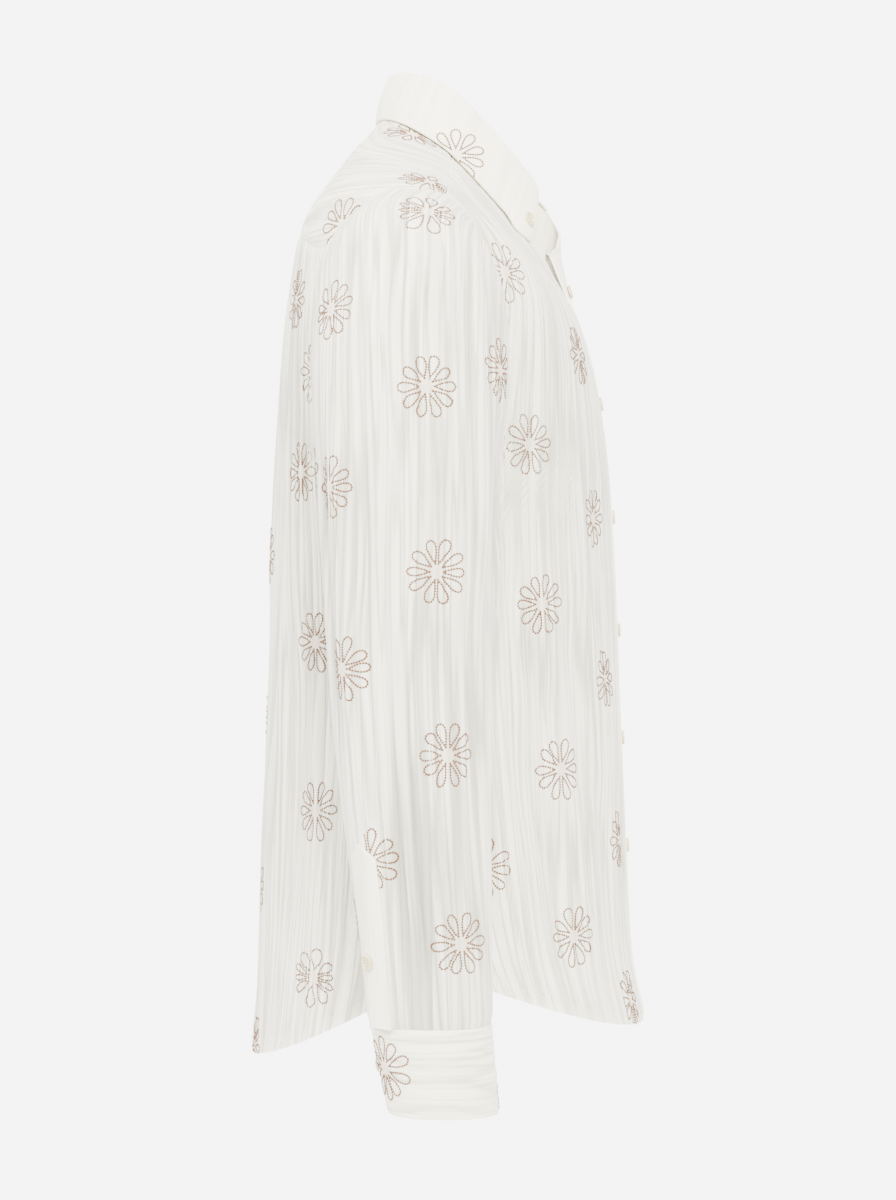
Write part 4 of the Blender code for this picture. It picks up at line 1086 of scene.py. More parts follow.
def surface_area(points):
    """Area in square metres of one layer of a grid of points in mm."""
    one = points[1:, :-1] - points[:-1, :-1]
    two = points[:-1, 1:] - points[:-1, :-1]
    return float(np.linalg.norm(np.cross(one, two), axis=-1).sum()) * MM * MM


def longest(points, axis):
    """Length in mm of the longest line of a grid of points along one of its directions."""
    return float(np.linalg.norm(np.diff(points, axis=axis), axis=-1).sum(axis=axis).max())


grids = {}  # the outer points of each finished piece of cloth, by its name
outwards = {}  # and the direction out of the cloth at each of them
BAND_NAMES = {"button_band": "under_band_cloth", "front_placket": "front_band_cloth"}


def make_cloth(node, outer, outward, cut, plain, material, rests_on, mirror=False, **finish):
    """plain is its form before the crinkle, from which its area is measured.
    """
    name = BAND_NAMES.get(node, f"{node}_cloth")
    if mirror:
        outer, outward, plain = mirrored(outer), mirrored(outward), mirrored(plain)
    cut = np.stack(cut, axis=-1)
    piece = shell(name, outer, outward, cut, material, **finish)
    grids[name] = outer
    outwards[name] = grid_normals(outer, outward)
    area = surface_area(plain)
    finish_cloth(piece, node)


# %% [markdown]
# ## The fronts and the back
#
# A panel's relief is the crinkle, less near its seams, plus the dip of the seams and the doubled
# band of the turned hem. The same function is used later to lay the embroidery on the cloth, so
# the stitches follow every crease.

# %% Relief of the panels
HEM_WIDTH = 9.0
HEM_RISE = 0.35
ALLOWANCE = 7.0  # mm of cloth turned under beside a seam
FRONT_SEED, BACK_SEED, SLEEVE_SEED, YOKE_SEED = 11, 23, 37, 51
CUFF_SEED, PLACKET_SEED, COLLAR_SEED = 71, 83, 91
FRONT_FINE = (3, 16)  # rows and columns of fine cloth for each one of the coarse grid
BACK_FINE = (3, 24)
YOKE_FINE = (14, 2)


def off_seam(distance):
    """Height of the cloth beside a seam, which holds it down along its line."""
    return -SEAM_DIP * np.exp(-((distance / SEAM_REACH) ** 2))


def hem_share(distance):
    """1 on the turned hem, 0 above it."""
    return 1 - smooth(HEM_WIDTH - 0.6, HEM_WIDTH + 0.6, distance)


def body_relief(angle, level, seed, from_back=False):
    """Crinkle of the fronts or the back, pressed flatter towards the neck."""
    height, valley = crinkle(*body_cut(angle, level, from_back), seed)
    share = 0.45 + 0.55 * smooth(0.0, 2.6, level)
    return height * share, valley * share


def front_surface(side):
    surface = left_body if side > 0 else right_body

    def place(angle, level, lift=0.0):
        height = body_relief(angle, level, FRONT_SEED + side)[0]
        return surface(angle, level, height + lift)

    return place


def back_surface(angle, level, lift=0.0):
    return right_body(angle, level, body_relief(angle, level, BACK_SEED, True)[0] + lift)


def panel_relief(points, height, valley, seams, hem):
    """Fade the crinkle towards the seams, draw the seams in, and double the hem."""
    double = np.zeros(height.shape)
    height = height + SEAM_DIP
    for edge in seams:
        distance = edge_distance(points, edge)
        height = (height - SEAM_DIP) * smooth(0, ALLOWANCE, distance) + SEAM_DIP + off_seam(distance)
        double = np.maximum(double, 0.7 * (1 - smooth(ALLOWANCE, ALLOWANCE + 2, distance)))
    if hem:
        share = hem_share(edge_distance(points, hem))
        height = height * (1 - 0.55 * share) + HEM_RISE * share
        double = np.maximum(double, share)
    return height, valley * (1 - 0.5 * double), double


# %% Making a panel
def body_normals(surface, angle, level):
    """Outward normals of the body, with their steps kept off the neck seam and the hem."""
    return normals(surface, angle, np.clip(level, 2e-3, HEM - 2e-3))


def make_panel(node, surface, places, relief, from_back, material, rests_on, hem="top", layers=0.0):
    """Make a panel of the body from its fine grid and its crinkle. layers is its least doubling."""
    plain = surface(*places)
    seams = ("bottom", "first", "last") if hem else ("top", "bottom", "first", "last")
    height, valley, double = panel_relief(plain, *relief, seams, hem)
    outer = surface(*places, height)
    outward = body_normals(surface, *places)
    cut = body_cut(*places, from_back)
    double = np.maximum(double, layers)
    make_cloth(
        node, outer, outward, cut, plain, material, rests_on, valley=valley, double=double
    )


# %% The fronts
def make_front(side, node):
    angle, level = front_patch(BAND_HALF if side > 0 else BAND_SEAM)
    row_corners = (0, SIDE_STEPS, CENTRE_STEPS, SIDE_STEPS + ARM_FRONT)
    angle, level = refine(angle, level, row_corners, FRONT_FINE[0], (0, FRONT_COLUMNS), FRONT_FINE[1])
    if side < 0:
        angle = 2 * math.pi - angle
    surface = left_body if side > 0 else right_body
    relief = body_relief(angle, level, FRONT_SEED + side)
    rests_on = ["yoke_cloth", "front_band_cloth"]
    make_panel(node, surface, (angle, level), relief, False, crinkled, rests_on)


make_front(-1, "front_right")
make_front(1, "front_left")


# %% The back
def back_grid():
    arm = armhole(np.linspace(0.5, BACK_CORNER, ARM_BACK + 1))
    left = np.concatenate([side_seam(), arm[1:]])
    hem_angle = np.linspace(math.pi / 2, 3 * math.pi / 2, 160)
    hem = evenly(hem_angle, np.full(160, float(HEM)), BACK_COLUMNS)
    return patch(hem, yoke_back_seam(), left, opposite(left)[::-1])


def make_back():
    row_corners = (0, SIDE_STEPS, SIDE_STEPS + ARM_BACK)
    places = refine(*back_grid(), row_corners, BACK_FINE[0], (0, BACK_COLUMNS), BACK_FINE[1])
    relief = body_relief(*places, BACK_SEED, True)
    make_panel("back", right_body, places, relief, True, crinkled, ["yoke_cloth"])


make_back()

# %% [markdown]
# ## The yoke
#
# The yoke goes over the shoulders in two layers, with its threads running from shoulder to
# shoulder, so its creases cross those of the back.

# %% The yoke
def yoke_relief(angle, level):
    across, down = body_cut(angle, level, True)
    height, valley = crinkle(down, across, YOKE_SEED, pitch=5.0, run=90)
    return 0.55 * height, 0.6 * valley


def yoke_surface(angle, level, lift=0.0):
    return right_body(angle, level, yoke_relief(angle, level)[0] + lift)


def yoke_grid():
    yoke_angle = math.radians(FRONT_YOKE_NECK)
    inner = neck_line(yoke_angle, 2 * math.pi - yoke_angle, 2 * ARM_YOKE + BACK_COLUMNS)
    arm = armhole(np.linspace(1 + FRONT_CORNER, BACK_CORNER, ARM_YOKE + 1))
    edge = np.concatenate([arm, yoke_back_seam()[1:], opposite(arm)[1:]])
    left = yoke_front_seam(YOKE_ROWS)
    return patch(inner, edge, left, opposite(left)[::-1])


def make_yoke():
    column_corners = (0, ARM_YOKE, ARM_YOKE + BACK_COLUMNS, 2 * ARM_YOKE + BACK_COLUMNS)
    places = refine(*yoke_grid(), (0, YOKE_ROWS), YOKE_FINE[0], column_corners, YOKE_FINE[1])
    relief, rests_on = yoke_relief(*places), ["collar_stand_cloth"]
    make_panel("yoke", right_body, places, relief, True, crinkled_across, rests_on, None, 0.45)


make_yoke()

# %% [markdown]
# ## The sleeves
#
# The sleeve hangs from its cap, so its creases run the whole way down. Near the cuff its fullness
# is taken up in a pleat: a flat panel lies over a hollow, with a sharp edge between them. The
# pleat and the deeper folds beside it are lines on the flat sleeve with a depth and a width.

# %% Folds of the sleeve
# Turn and ring of each end, half width and depth in mm
SLEEVE_FOLDS = (
    (0.902, 7.8, 0.910, 10.2, 4.5, 3.0),
    (0.964, 6.8, 0.940, 9.9, 4.0, 2.6),
    (0.999, 6.7, 0.989, 10.0, 4.0, 2.8),
    (0.885, 6.2, 0.925, 8.4, 5.0, 1.8),
    (0.025, 5.4, 0.020, 7.6, 5.0, 1.4),
    (0.060, 7.4, 0.055, 9.6, 5.0, 0.9),
    (0.262, 2.4, 0.215, 5.6, 7.0, 3.4),
    (0.205, 3.0, 0.185, 6.5, 6.0, 1.6),
    (0.780, 3.4, 0.800, 6.8, 6.0, 2.2),
    (0.120, 6.6, 0.130, 9.4, 6.0, 1.3),
    (0.330, 6.0, 0.320, 9.8, 6.0, 2.0),
    (0.620, 5.6, 0.640, 9.6, 6.0, 2.4),
    (0.470, 5.0, 0.480, 9.4, 7.0, 2.6),
)
PLEAT_EDGE = ((6.3, 0.040), (7.5, 0.030), (8.5, 0.021), (10.0, 0.006))  # ring and turn
PLEAT_DEPTH = 5.0
PLEAT_WIDTH = 34.0
SLEEVE_COLUMNS = 31
SLEEVE_FINE = (4, 12)


def pleat(turn, ring):
    """Depth in mm of the hollow behind the pleat's edge."""
    edge = np.interp(ring, *zip(*PLEAT_EDGE))
    behind = (edge - turns_from(turn, 0)) * SLEEVE_MM_PER_TURN
    ramp = np.clip(1 - behind / PLEAT_WIDTH, 0, 1) ** 1.3
    along = smooth(6.2, 8.4, ring)
    return PLEAT_DEPTH * along * smooth(-0.9, 0.9, behind) * ramp


def sleeve_relief(turn, ring, seed):
    across, down = sleeve_cut(turn, ring)
    height, valley = crinkle(across, down, seed, pitch=5.0)
    folds = np.zeros(np.shape(height))
    for fold in SLEEVE_FOLDS:
        folds += sleeve_crease(turn, ring, fold)
    cap = smooth(0.0, 1.2, ring)
    deep = folds + pleat(turn, ring)
    height = 0.9 * height * (0.35 + 0.65 * cap) - deep
    # Painted crease shade. It is fainter near the cap, with more of it in the deep folds and the pleat's
    # hollow.
    valley = np.clip(valley * (0.4 + 0.6 * cap) + 0.22 * np.clip(deep, 0, 4), 0, 1)
    off_placket = np.abs(turns_from(turn, PLACKET_TURN))
    under = smooth(PLACKET_PEAK - 0.4, PLACKET_PEAK, ring)
    flat = under * (1 - smooth(PLACKET_HALF, 1.35 * PLACKET_HALF, off_placket))
    return height * (1 - flat) - 0.6 * flat, valley * (1 - flat)


# %% The sleeves
def sleeve_surface(side):
    def place(turn, ring, lift=0.0):
        points = sleeve(turn, ring, sleeve_relief(turn, ring, SLEEVE_SEED + side)[0] + lift)
        return points if side < 0 else mirrored(points)

    return place


def make_sleeve(side, word):
    turns = np.linspace(-0.5, 0.5, SLEEVE_COLUMNS * SLEEVE_FINE[1] + 1)
    rings = refine_rows(np.array(SLEEVE_LEVELS)[:, None], (0, len(SLEEVE_LEVELS) - 1), SLEEVE_FINE[0])
    turn, ring = np.meshgrid(turns, rings[:, 0])
    ring = np.clip(ring, 0, SLEEVE_END)
    plain = sleeve(turn, ring)
    height, valley = sleeve_relief(turn, ring, SLEEVE_SEED + side)
    cap, cuff = edge_distance(plain, "top"), edge_distance(plain, "bottom")
    height = height * smooth(0, 6, cap) + SEAM_DIP + off_seam(cap)
    height = height * (0.35 + 0.65 * smooth(0, 9, cuff)) - 1.1 * (1 - smooth(0, 2.5, cuff))
    double = 0.6 * (1 - smooth(6, 8, cap))
    outer = sleeve(turn, ring, height)
    cut = sleeve_cut(np.clip(turn, -0.4999, 0.4999), ring)  # the tube's two edges stay apart
    make_cloth(
        f"sleeve_{word}", outer, sleeve_normals(turn, ring), cut, plain, crinkled, ["yoke_cloth"],
        side > 0, tube=True, valley=valley, double=double,
    )


make_sleeve(-1, "right")
make_sleeve(1, "left")

# %% [markdown]
# ## Bands, cuffs and sleeve plackets
#
# The bands down the front, the cuffs and the strips that bind the sleeve slits are folded double,
# so they are thicker, flatter and a little creamier. Their edges are slightly rounded: the outer
# face turns down there by about a third of the cloth's thickness.


# %% Folded edges
BAND_ROWS, BAND_COLUMNS = 170, 14
BAND_THICK, CUFF_THICK, STAND_THICK, STRIP_THICK, LEAF_THICK = 1.2, 1.3, 1.3, 1.4, 1.5  # mm
ALL_EDGES = ("top", "bottom", "first", "last")


def rolled(points, outward, thickness, edges):
    """Turn the outermost points of a grid down, so that a folded edge looks round."""
    drop = np.zeros(points.shape[:2])
    for edge in edges:
        distance = edge_distance(points, edge)
        inside = np.clip(1 - distance / (thickness * 0.8), 0, 1)
        drop = np.maximum(drop, thickness * 0.35 * (1 - np.sqrt(1 - inside**2)))
    return points - drop[..., None] * outward


def flattened(height, points, edges, reach):
    """Fade the height of the crinkle out towards edges that are sewn down."""
    for edge in edges:
        height = height * smooth(0, reach, edge_distance(points, edge))
    return height


def soft_steps(count):
    """Shares from 0 to 1 with extra steps close to both ends, for a rolled edge."""
    close = np.array([0.012, 0.03])
    return np.sort(np.concatenate([np.linspace(0, 1, count + 1), close, 1 - close]))


# %% The front bands
def make_band(side, node):
    low, high = (-BAND_HALF, BAND_HALF) if side > 0 else (-BAND_SEAM, BAND_HALF)
    seam = centre_line(high if side > 0 else -low)
    level = np.interp(soft_steps(BAND_ROWS), np.linspace(0, 1, len(seam)), seam[:, 1])[:, None]
    edges = angle_at(np.array([low, high]), np.repeat(level, 2, axis=1))
    share = soft_steps(BAND_COLUMNS)
    angle = edges[:, :1] * (1 - share) + edges[:, 1:] * share
    level = np.repeat(level, angle.shape[1], axis=1)
    surface = left_body if side > 0 else right_body
    turned = angle if side > 0 else 2 * math.pi + angle
    across, down = body_cut(turned, level)
    height, valley = crinkle(across, down, FRONT_SEED + 5 * side, pitch=4.4)
    height = 0.3 * height * smooth(0, 4, np.minimum(across - low, high - across))
    outward = body_normals(surface, turned, level)
    outer = rolled(surface(turned, level, height), outward, BAND_THICK, ("first", "last", "top"))
    make_cloth(
        node, outer, outward, (across, down), surface(turned, level), smooth_cotton,
        ["front_left_cloth"], thickness=BAND_THICK, valley=0.4 * valley, double=1.0,
    )


make_band(-1, "button_band")
make_band(1, "front_placket")

# %% The cuffs
# x of the middle, half the width, y of the front and of the back, and z, in mm
CUFF_TOP = (-249.5, 34.5, -16.7, 67.5, -640.0)
CUFF_BOTTOM = (-251.0, 33.5, -21.6, 55.0, -702.0)
CUFF_DEPTH = CUFF_TOP[4] - CUFF_BOTTOM[4]
CUFF_START, CUFF_STOP = 0.75, -0.35  # turns where the lower and the upper end of the cuff lie
CUFF_RISE_TURNS = 0.1
CUFF_CORNER = 26.0
CUFF_GIRTH = 262.0


def cuff_point(turn, down, lift):
    """The cuff's outer face at a turn, from its seam (0) to its lower edge (1)."""
    top, low = np.array(CUFF_TOP), np.array(CUFF_BOTTOM)
    size = top + (low - top) * down[..., None]
    wide, deep = superellipse(2 * math.pi * turn, SLEEVE_FULLNESS)
    x = size[..., 0] - (size[..., 1] + lift) * deep
    half = (size[..., 3] - size[..., 2]) / 2 + lift
    y = (size[..., 2] + size[..., 3]) / 2 - half * wide
    return np.stack([x, y, size[..., 4]], axis=-1)


def cuff_normals(turn, down, lift):
    h = 2e-3
    around = cuff_point(turn + h, down, lift) - cuff_point(turn - h, down, lift)
    fall = cuff_point(turn, down + h, lift) - cuff_point(turn, down - h, lift)
    return unit(np.cross(fall, around))


def cuff_lap(turn):
    """Height of the cuff's upper end, which rises by the lap as it comes round to the lower one."""
    lapped = CUFF_START - 1
    return LAP * (1 - smooth(lapped, lapped + CUFF_RISE_TURNS, turn))


def cuff_grid(columns, row_count):
    """Turn, fall and lift of the cuff's points, with a round corner at its upper end."""
    turn = np.linspace(CUFF_START, CUFF_STOP, columns + 1)
    from_end = (turn - CUFF_STOP) * CUFF_GIRTH
    reach = np.clip(CUFF_CORNER - from_end, 0, CUFF_CORNER)
    rise = CUFF_CORNER - np.sqrt(CUFF_CORNER**2 - reach**2)
    down = np.linspace(0, 1, row_count + 1)[:, None] * (1 - rise / CUFF_DEPTH)[None]
    return np.broadcast_to(turn, down.shape), down, np.broadcast_to(cuff_lap(turn), down.shape)


def make_cuff(side, word):
    turn, down, lift = cuff_grid(150, 40)
    plain = cuff_point(turn, down, lift)
    cut = (turn * CUFF_GIRTH, down * CUFF_DEPTH)
    height, valley = crinkle(cut[1], cut[0], CUFF_SEED + side, pitch=4.6, run=70)
    height = flattened(0.4 * height, plain, ALL_EDGES, 4)
    outward = cuff_normals(turn, down, lift)
    outer = rolled(plain + height[..., None] * outward, outward, CUFF_THICK, ALL_EDGES)
    make_cloth(
        f"cuff_{word}", outer, outward, cut, plain, cuff_cotton, [f"sleeve_{word}_cloth"],
        side > 0, thickness=CUFF_THICK, valley=0.7 * valley, double=1.0,
    )


make_cuff(-1, "right")
make_cuff(1, "left")


# %% The sleeve plackets
def placket_grid(rows_count, columns_count):
    across = np.linspace(-1, 1, columns_count + 1)
    peak = PLACKET_PEAK + PLACKET_POINT * np.abs(across)
    ring = peak[None] + (SLEEVE_END - peak[None]) * soft_steps(rows_count)[:, None]
    return PLACKET_TURN + PLACKET_HALF * np.broadcast_to(across, ring.shape), ring


def make_sleeve_placket(side, word):
    turn, ring = placket_grid(60, 16)
    across, down = sleeve_cut(turn, ring)
    height, valley = crinkle(across, down, PLACKET_SEED + side, pitch=4.2)
    plain = sleeve(turn, ring, PLACKET_LIFT)
    height = flattened(height, plain, ALL_EDGES, 4)
    outward = sleeve_normals(turn, ring)
    outer = sleeve(turn, ring, PLACKET_LIFT + 0.35 * height)
    outer = rolled(outer, outward, STRIP_THICK, ("top", "first", "last"))
    make_cloth(
        f"sleeve_placket_{word}", outer, outward, (across, down), plain, smooth_cotton,
        [f"sleeve_{word}_cloth"], side > 0, thickness=STRIP_THICK, valley=0.4 * valley, double=1.0,
    )


make_sleeve_placket(-1, "right")
make_sleeve_placket(1, "left")

# %% [markdown]
# ## The collar
#
# The collar is two pieces: a stand that rises from the neck seam, and a leaf that folds over it
# and falls to its points, which button down. A short table says where the fold runs and where the
# leaf's edge rests on the shirt, and the roll between them is a part of a circle.

# %% Rows of the collar
# Angle on the neck seam, x, y and z of the fold, angle and level of the leaf's edge
COLLAR_LEFT = np.array([
    (-13, -12, -69.5, -58, 0, 0),
    (0, 3, -66.5, -46, 0, 0),
    (15, 24, -65, -36, 0, 0),
    (33, 45, -64.6, -21.4, 42.7, 1.50),
    (59, 58, -41.5, 3.7, 62, 0.88),
    (86, 60, -8.5, 39.5, 86, 0.40),
    (129, 50, 27.5, 65.5, 123, 0.27),
    (180, 0, 58.4, 76.4, 180, 0.40),
], dtype=float)
COLLAR_RIGHT = COLLAR_LEFT[-2::-1] * (-1, -1, 1, 1, -1, 1) + (360, 0, 0, 0, 360, 0)
COLLAR_ROWS = np.concatenate([COLLAR_LEFT, COLLAR_RIGHT])
LEAF_END = 33.0  # angle of the neck seam, in degrees, where the leaf ends


def collar_row(degrees_round):
    """The collar's table between its rows, along a smooth curve over the uneven angles."""
    keys, values = COLLAR_ROWS[:, 0], COLLAR_ROWS[:, 1:]
    slopes = np.gradient(values, keys, axis=0)
    index = np.clip(np.searchsorted(keys, degrees_round, side="right") - 1, 0, len(keys) - 2)
    step = (keys[index + 1] - keys[index])[..., None]
    t = (degrees_round - keys[index])[..., None] / step
    start, end = values[index], values[index + 1]
    leave, arrive = slopes[index] * step, slopes[index + 1] * step
    return (
        start * (2 * t**3 - 3 * t**2 + 1)
        + leave * (t**3 - 2 * t**2 + t)
        + end * (3 * t**2 - 2 * t**3)
        + arrive * (t**3 - t**2)
    )


def fold_point(degrees_round):
    """Top of the collar's fold over an angle of the neck seam."""
    fold = collar_row(degrees_round)[..., :3]
    left = (degrees_round <= 180)[..., None]
    return np.where(left, open_neck(fold, 1), open_neck(fold, -1))


# %% The collar's neck seam, stand and leaf
def neck_point(degrees_round):
    """The neck seam, with the left end of the stand raised over the right one."""
    angle = np.radians(degrees_round)
    level = np.zeros_like(angle)
    left = left_body(angle, level)
    right = right_body(angle, level)
    return np.where((degrees_round <= 180)[..., None], left, right)


def stand_point(degrees_round, height):
    """The stand's outer face, from the neck seam (0) up to its top edge (1)."""
    bottom = neck_point(degrees_round)
    centre, up, out = roll_frame(degrees_round)
    lap = LAP * (1 - smooth(*LAP_ENDS, degrees_round))
    top = centre + STAND_TOP * up + (DOUBLE / 2 + lap)[..., None] * out
    return bottom + (top - bottom) * height[..., None]


def roll_frame(degrees_round):
    """Centre of the collar's roll, the way up the stand, and the way out of it."""
    h = 0.5
    fold = fold_point(degrees_round)
    along = fold_point(degrees_round + h) - fold_point(degrees_round - h)
    up = unit(fold - neck_point(degrees_round))
    out = unit(np.cross(along, up))
    return fold - ROLL_RADIUS * up, up, out


def leaf_surface(degrees_round, share, lift=0.0):
    """The leaf's outer face: share 0 to 1 over the roll, then 1 to 2 down to its edge."""
    row = collar_row(degrees_round)
    edge_angle, edge_level = np.radians(row[..., 3]), row[..., 4]
    edge = body_form(edge_angle, edge_level)
    edge = edge + LEAF_LIFT * normals(body_form, edge_angle, edge_level)
    centre, up, out = roll_frame(degrees_round)
    tilt = np.radians(ROLL_TILTS[0] + (ROLL_TILTS[-1] - ROLL_TILTS[0]) * np.clip(share, 0, 1))
    radius = ROLL_RADIUS + lift
    roll = centre + (radius * np.cos(tilt))[..., None] * out + (radius * np.sin(tilt))[..., None] * up
    fall = np.clip(share - 1, 0, 1)
    start_tilt = math.radians(ROLL_TILTS[-1])
    start = centre + ROLL_RADIUS * (math.cos(start_tilt) * out + math.sin(start_tilt) * up)
    bulge = LEAF_BULGE * np.sin(math.pi * fall) + lift
    falling = start + (edge - start) * fall[..., None] + bulge[..., None] * out
    return np.where((share > 1)[..., None], falling, roll)


# %% The leaf and the stand
LEAF_MM_PER_RADIAN = 68.0


def make_leaf():
    columns = LEAF_END + (360 - 2 * LEAF_END) * soft_steps(190)
    share = np.concatenate([np.linspace(0, 1, 9)[:-1], 1 + soft_steps(26)[:-2], [1.985, 2.0]])
    degrees_round, place = np.meshgrid(columns, np.unique(share))
    plain = leaf_surface(degrees_round, place)
    across = np.radians(degrees_round - 180) * LEAF_MM_PER_RADIAN
    down = edge_distance(plain, "top")
    height, valley = crinkle(across, down, COLLAR_SEED, pitch=6.0)
    height = flattened(height, plain, ("bottom", "first", "last"), 5)
    outward = grid_normals(plain, plain - plain.mean(axis=(0, 1)))
    outer = plain + (0.16 * height)[..., None] * outward
    outer = rolled(outer, outward, LEAF_THICK, ("bottom", "first", "last"))
    make_cloth(
        "collar_leaf", outer, outward, (across, down), plain, smooth_cotton,
        ["collar_stand_cloth"], thickness=LEAF_THICK, valley=0.2 * valley, double=1.0,
    )


def make_stand():
    edge = math.degrees(float(angle_at(np.array(BAND_HALF), np.array(0.0))))
    columns = -edge + (360 + 2 * edge) * soft_steps(180)
    degrees_round, height = np.meshgrid(columns, soft_steps(10))
    plain = stand_point(degrees_round, height)
    outward = grid_normals(plain, plain - plain.mean(axis=(0, 1)))
    share = (degrees_round - 180) / np.ptp(degrees_round)
    cut = (share * longest(plain, 1), -height * longest(plain, 0))
    outer = rolled(plain, outward, STAND_THICK, ("bottom", "first", "last"))
    make_cloth(
        "collar_stand", outer, outward, cut, plain, smooth_cotton, ["yoke_cloth"],
        thickness=STAND_THICK, double=1.0,
    )


make_leaf()
make_stand()

# %% [markdown]
# ## Stitches with Geometry Nodes
#
# A row of stitches is one shape repeated along a line, which is what Geometry Nodes are for. The
# tree takes a mesh of bare lines, turns it into curves, spaces points along them, sets one small
# spindle on each point, turned along the line, and makes it all real. The stitch's length, the
# space to the next one and its thickness are named inputs, so one tree sews every seam and every
# petal. The result is copied to a plain mesh and the modifier is taken off.


# %% The stitch tree
def stitch_tree():
    tree = bpy.data.node_groups.new("stitches_along_lines", "GeometryNodeTree")
    face = tree.interface
    face.new_socket("Geometry", in_out="INPUT", socket_type="NodeSocketGeometry")
    for name in ("Pitch", "Stitch length", "Width", "Height"):
        face.new_socket(name, in_out="INPUT", socket_type="NodeSocketFloat")
    face.new_socket("Thread", in_out="INPUT", socket_type="NodeSocketMaterial")
    face.new_socket("Geometry", in_out="OUTPUT", socket_type="NodeSocketGeometry")

    def node(kind, **settings):
        made = tree.nodes.new(kind)
        for key, value in settings.items():
            setattr(made, key, value)
        return made

    start, end = node("NodeGroupInput"), node("NodeGroupOutput")
    curves = node("GeometryNodeMeshToCurve")
    spaced = node("GeometryNodeResampleCurve", mode="LENGTH")
    tangent = node("GeometryNodeInputTangent")
    outward = node("GeometryNodeInputNamedAttribute", data_type="FLOAT_VECTOR")
    outward.inputs["Name"].default_value = "outward"
    turn = node("FunctionNodeAlignRotationToVector", axis="Z")
    roll = node("FunctionNodeAlignRotationToVector", axis="X", pivot_axis="Z")
    spindle = node("GeometryNodeMeshUVSphere")
    spindle.inputs["Segments"].default_value = 4
    spindle.inputs["Rings"].default_value = 2
    spindle.inputs["Radius"].default_value = 0.5
    smooth_faces = node("GeometryNodeSetShadeSmooth")
    size = node("ShaderNodeCombineXYZ")
    place = node("GeometryNodeInstanceOnPoints")
    real = node("GeometryNodeRealizeInstances")
    finish = node("GeometryNodeSetMaterial")

    def join(source, out, target, into):
        tree.links.new(source.outputs[out], target.inputs[into])

    join(start, "Geometry", curves, "Mesh")
    join(curves, "Curve", spaced, "Curve")
    join(start, "Pitch", spaced, "Length")
    join(tangent, 0, turn, "Vector")
    join(spaced, "Curve", place, "Points")
    join(spindle, "Mesh", smooth_faces, "Geometry")
    join(smooth_faces, "Geometry", place, "Instance")
    join(turn, "Rotation", roll, "Rotation")
    join(outward, "Attribute", roll, "Vector")
    join(roll, "Rotation", place, "Rotation")
    join(start, "Height", size, 0)
    join(start, "Width", size, 1)
    join(start, "Stitch length", size, 2)
    join(size, 0, place, "Scale")
    join(place, "Instances", real, "Geometry")
    join(real, "Geometry", finish, "Geometry")
    join(start, "Thread", finish, "Material")
    join(finish, "Geometry", end, 0)
    return tree


STITCHES = stitch_tree()


# %% Sewing along lines
def sew(name, lines, pitch, length, width, height, material, slot="crinkled_cotton"):
    """Sew stitches along lines, as one plain mesh on the root body.

    A line is an array with six columns: a point in mm and the direction out of the cloth.
    """
    lines = [line for line in lines if len(line) > 1]
    counts = [len(line) for line in lines]
    starts = np.concatenate([[0], np.cumsum(counts)[:-1]])
    edges = [(s + k, s + k + 1) for s, c in zip(starts, counts) for k in range(c - 1)]
    mesh = bpy.data.meshes.new(name)
    joined = np.concatenate(lines)
    mesh.from_pydata((joined[:, :3] * MM).tolist(), [tuple(map(int, e)) for e in edges], [])
    outward = mesh.attributes.new("outward", "FLOAT_VECTOR", "POINT")
    outward.data.foreach_set("vector", joined[:, 3:].astype(np.float32).ravel())
    guide = add_object(name + "_guide", mesh)
    modifier = guide.modifiers.new("stitches", "NODES")
    modifier.node_group = STITCHES
    sizes = {"Pitch": pitch, "Stitch length": length, "Width": width, "Height": height}
    values = {key: value * MM for key, value in sizes.items()}
    for item in STITCHES.interface.items_tree:
        if item.in_out == "INPUT" and item.name in values:
            modifier[item.identifier] = values[item.name]
        elif item.in_out == "INPUT" and item.name == "Thread":
            modifier[item.identifier] = material
    graph = bpy.context.evaluated_depsgraph_get()
    made_mesh = bpy.data.meshes.new_from_object(guide.evaluated_get(graph))
    made_mesh.name = name
    made_mesh.materials.clear()
    made_mesh.materials.append(material)
    made_mesh.polygons.foreach_set("material_index", [0] * len(made_mesh.polygons))
    made = add_object(name, made_mesh)
    guide.modifiers.clear()
    bpy.data.objects.remove(guide)
    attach(made, "root")
    print(f"{name}: {len(made_mesh.polygons) // 8} stitches")


# %% [markdown]
# ## The daisies
#
# One daisy has ten petals round a pale centre. A petal is a teardrop drawn in running stitch:
# narrow where it leaves the centre, widest near its outer end. On the flat cloth a daisy is drawn
# in two directions, across and down, and then laid on the surface. No two of them are quite the
# same, because cloth shifts in the frame, so each petal's turn and length vary a little.

# %% Drawing a daisy
PETALS = 10
PETAL_START, PETAL_END = 6.0, 22.3  # mm from the centre
PETAL_HALF_WIDTH = 4.1
CENTRE_RINGS = (1.3, 2.8, 4.3)


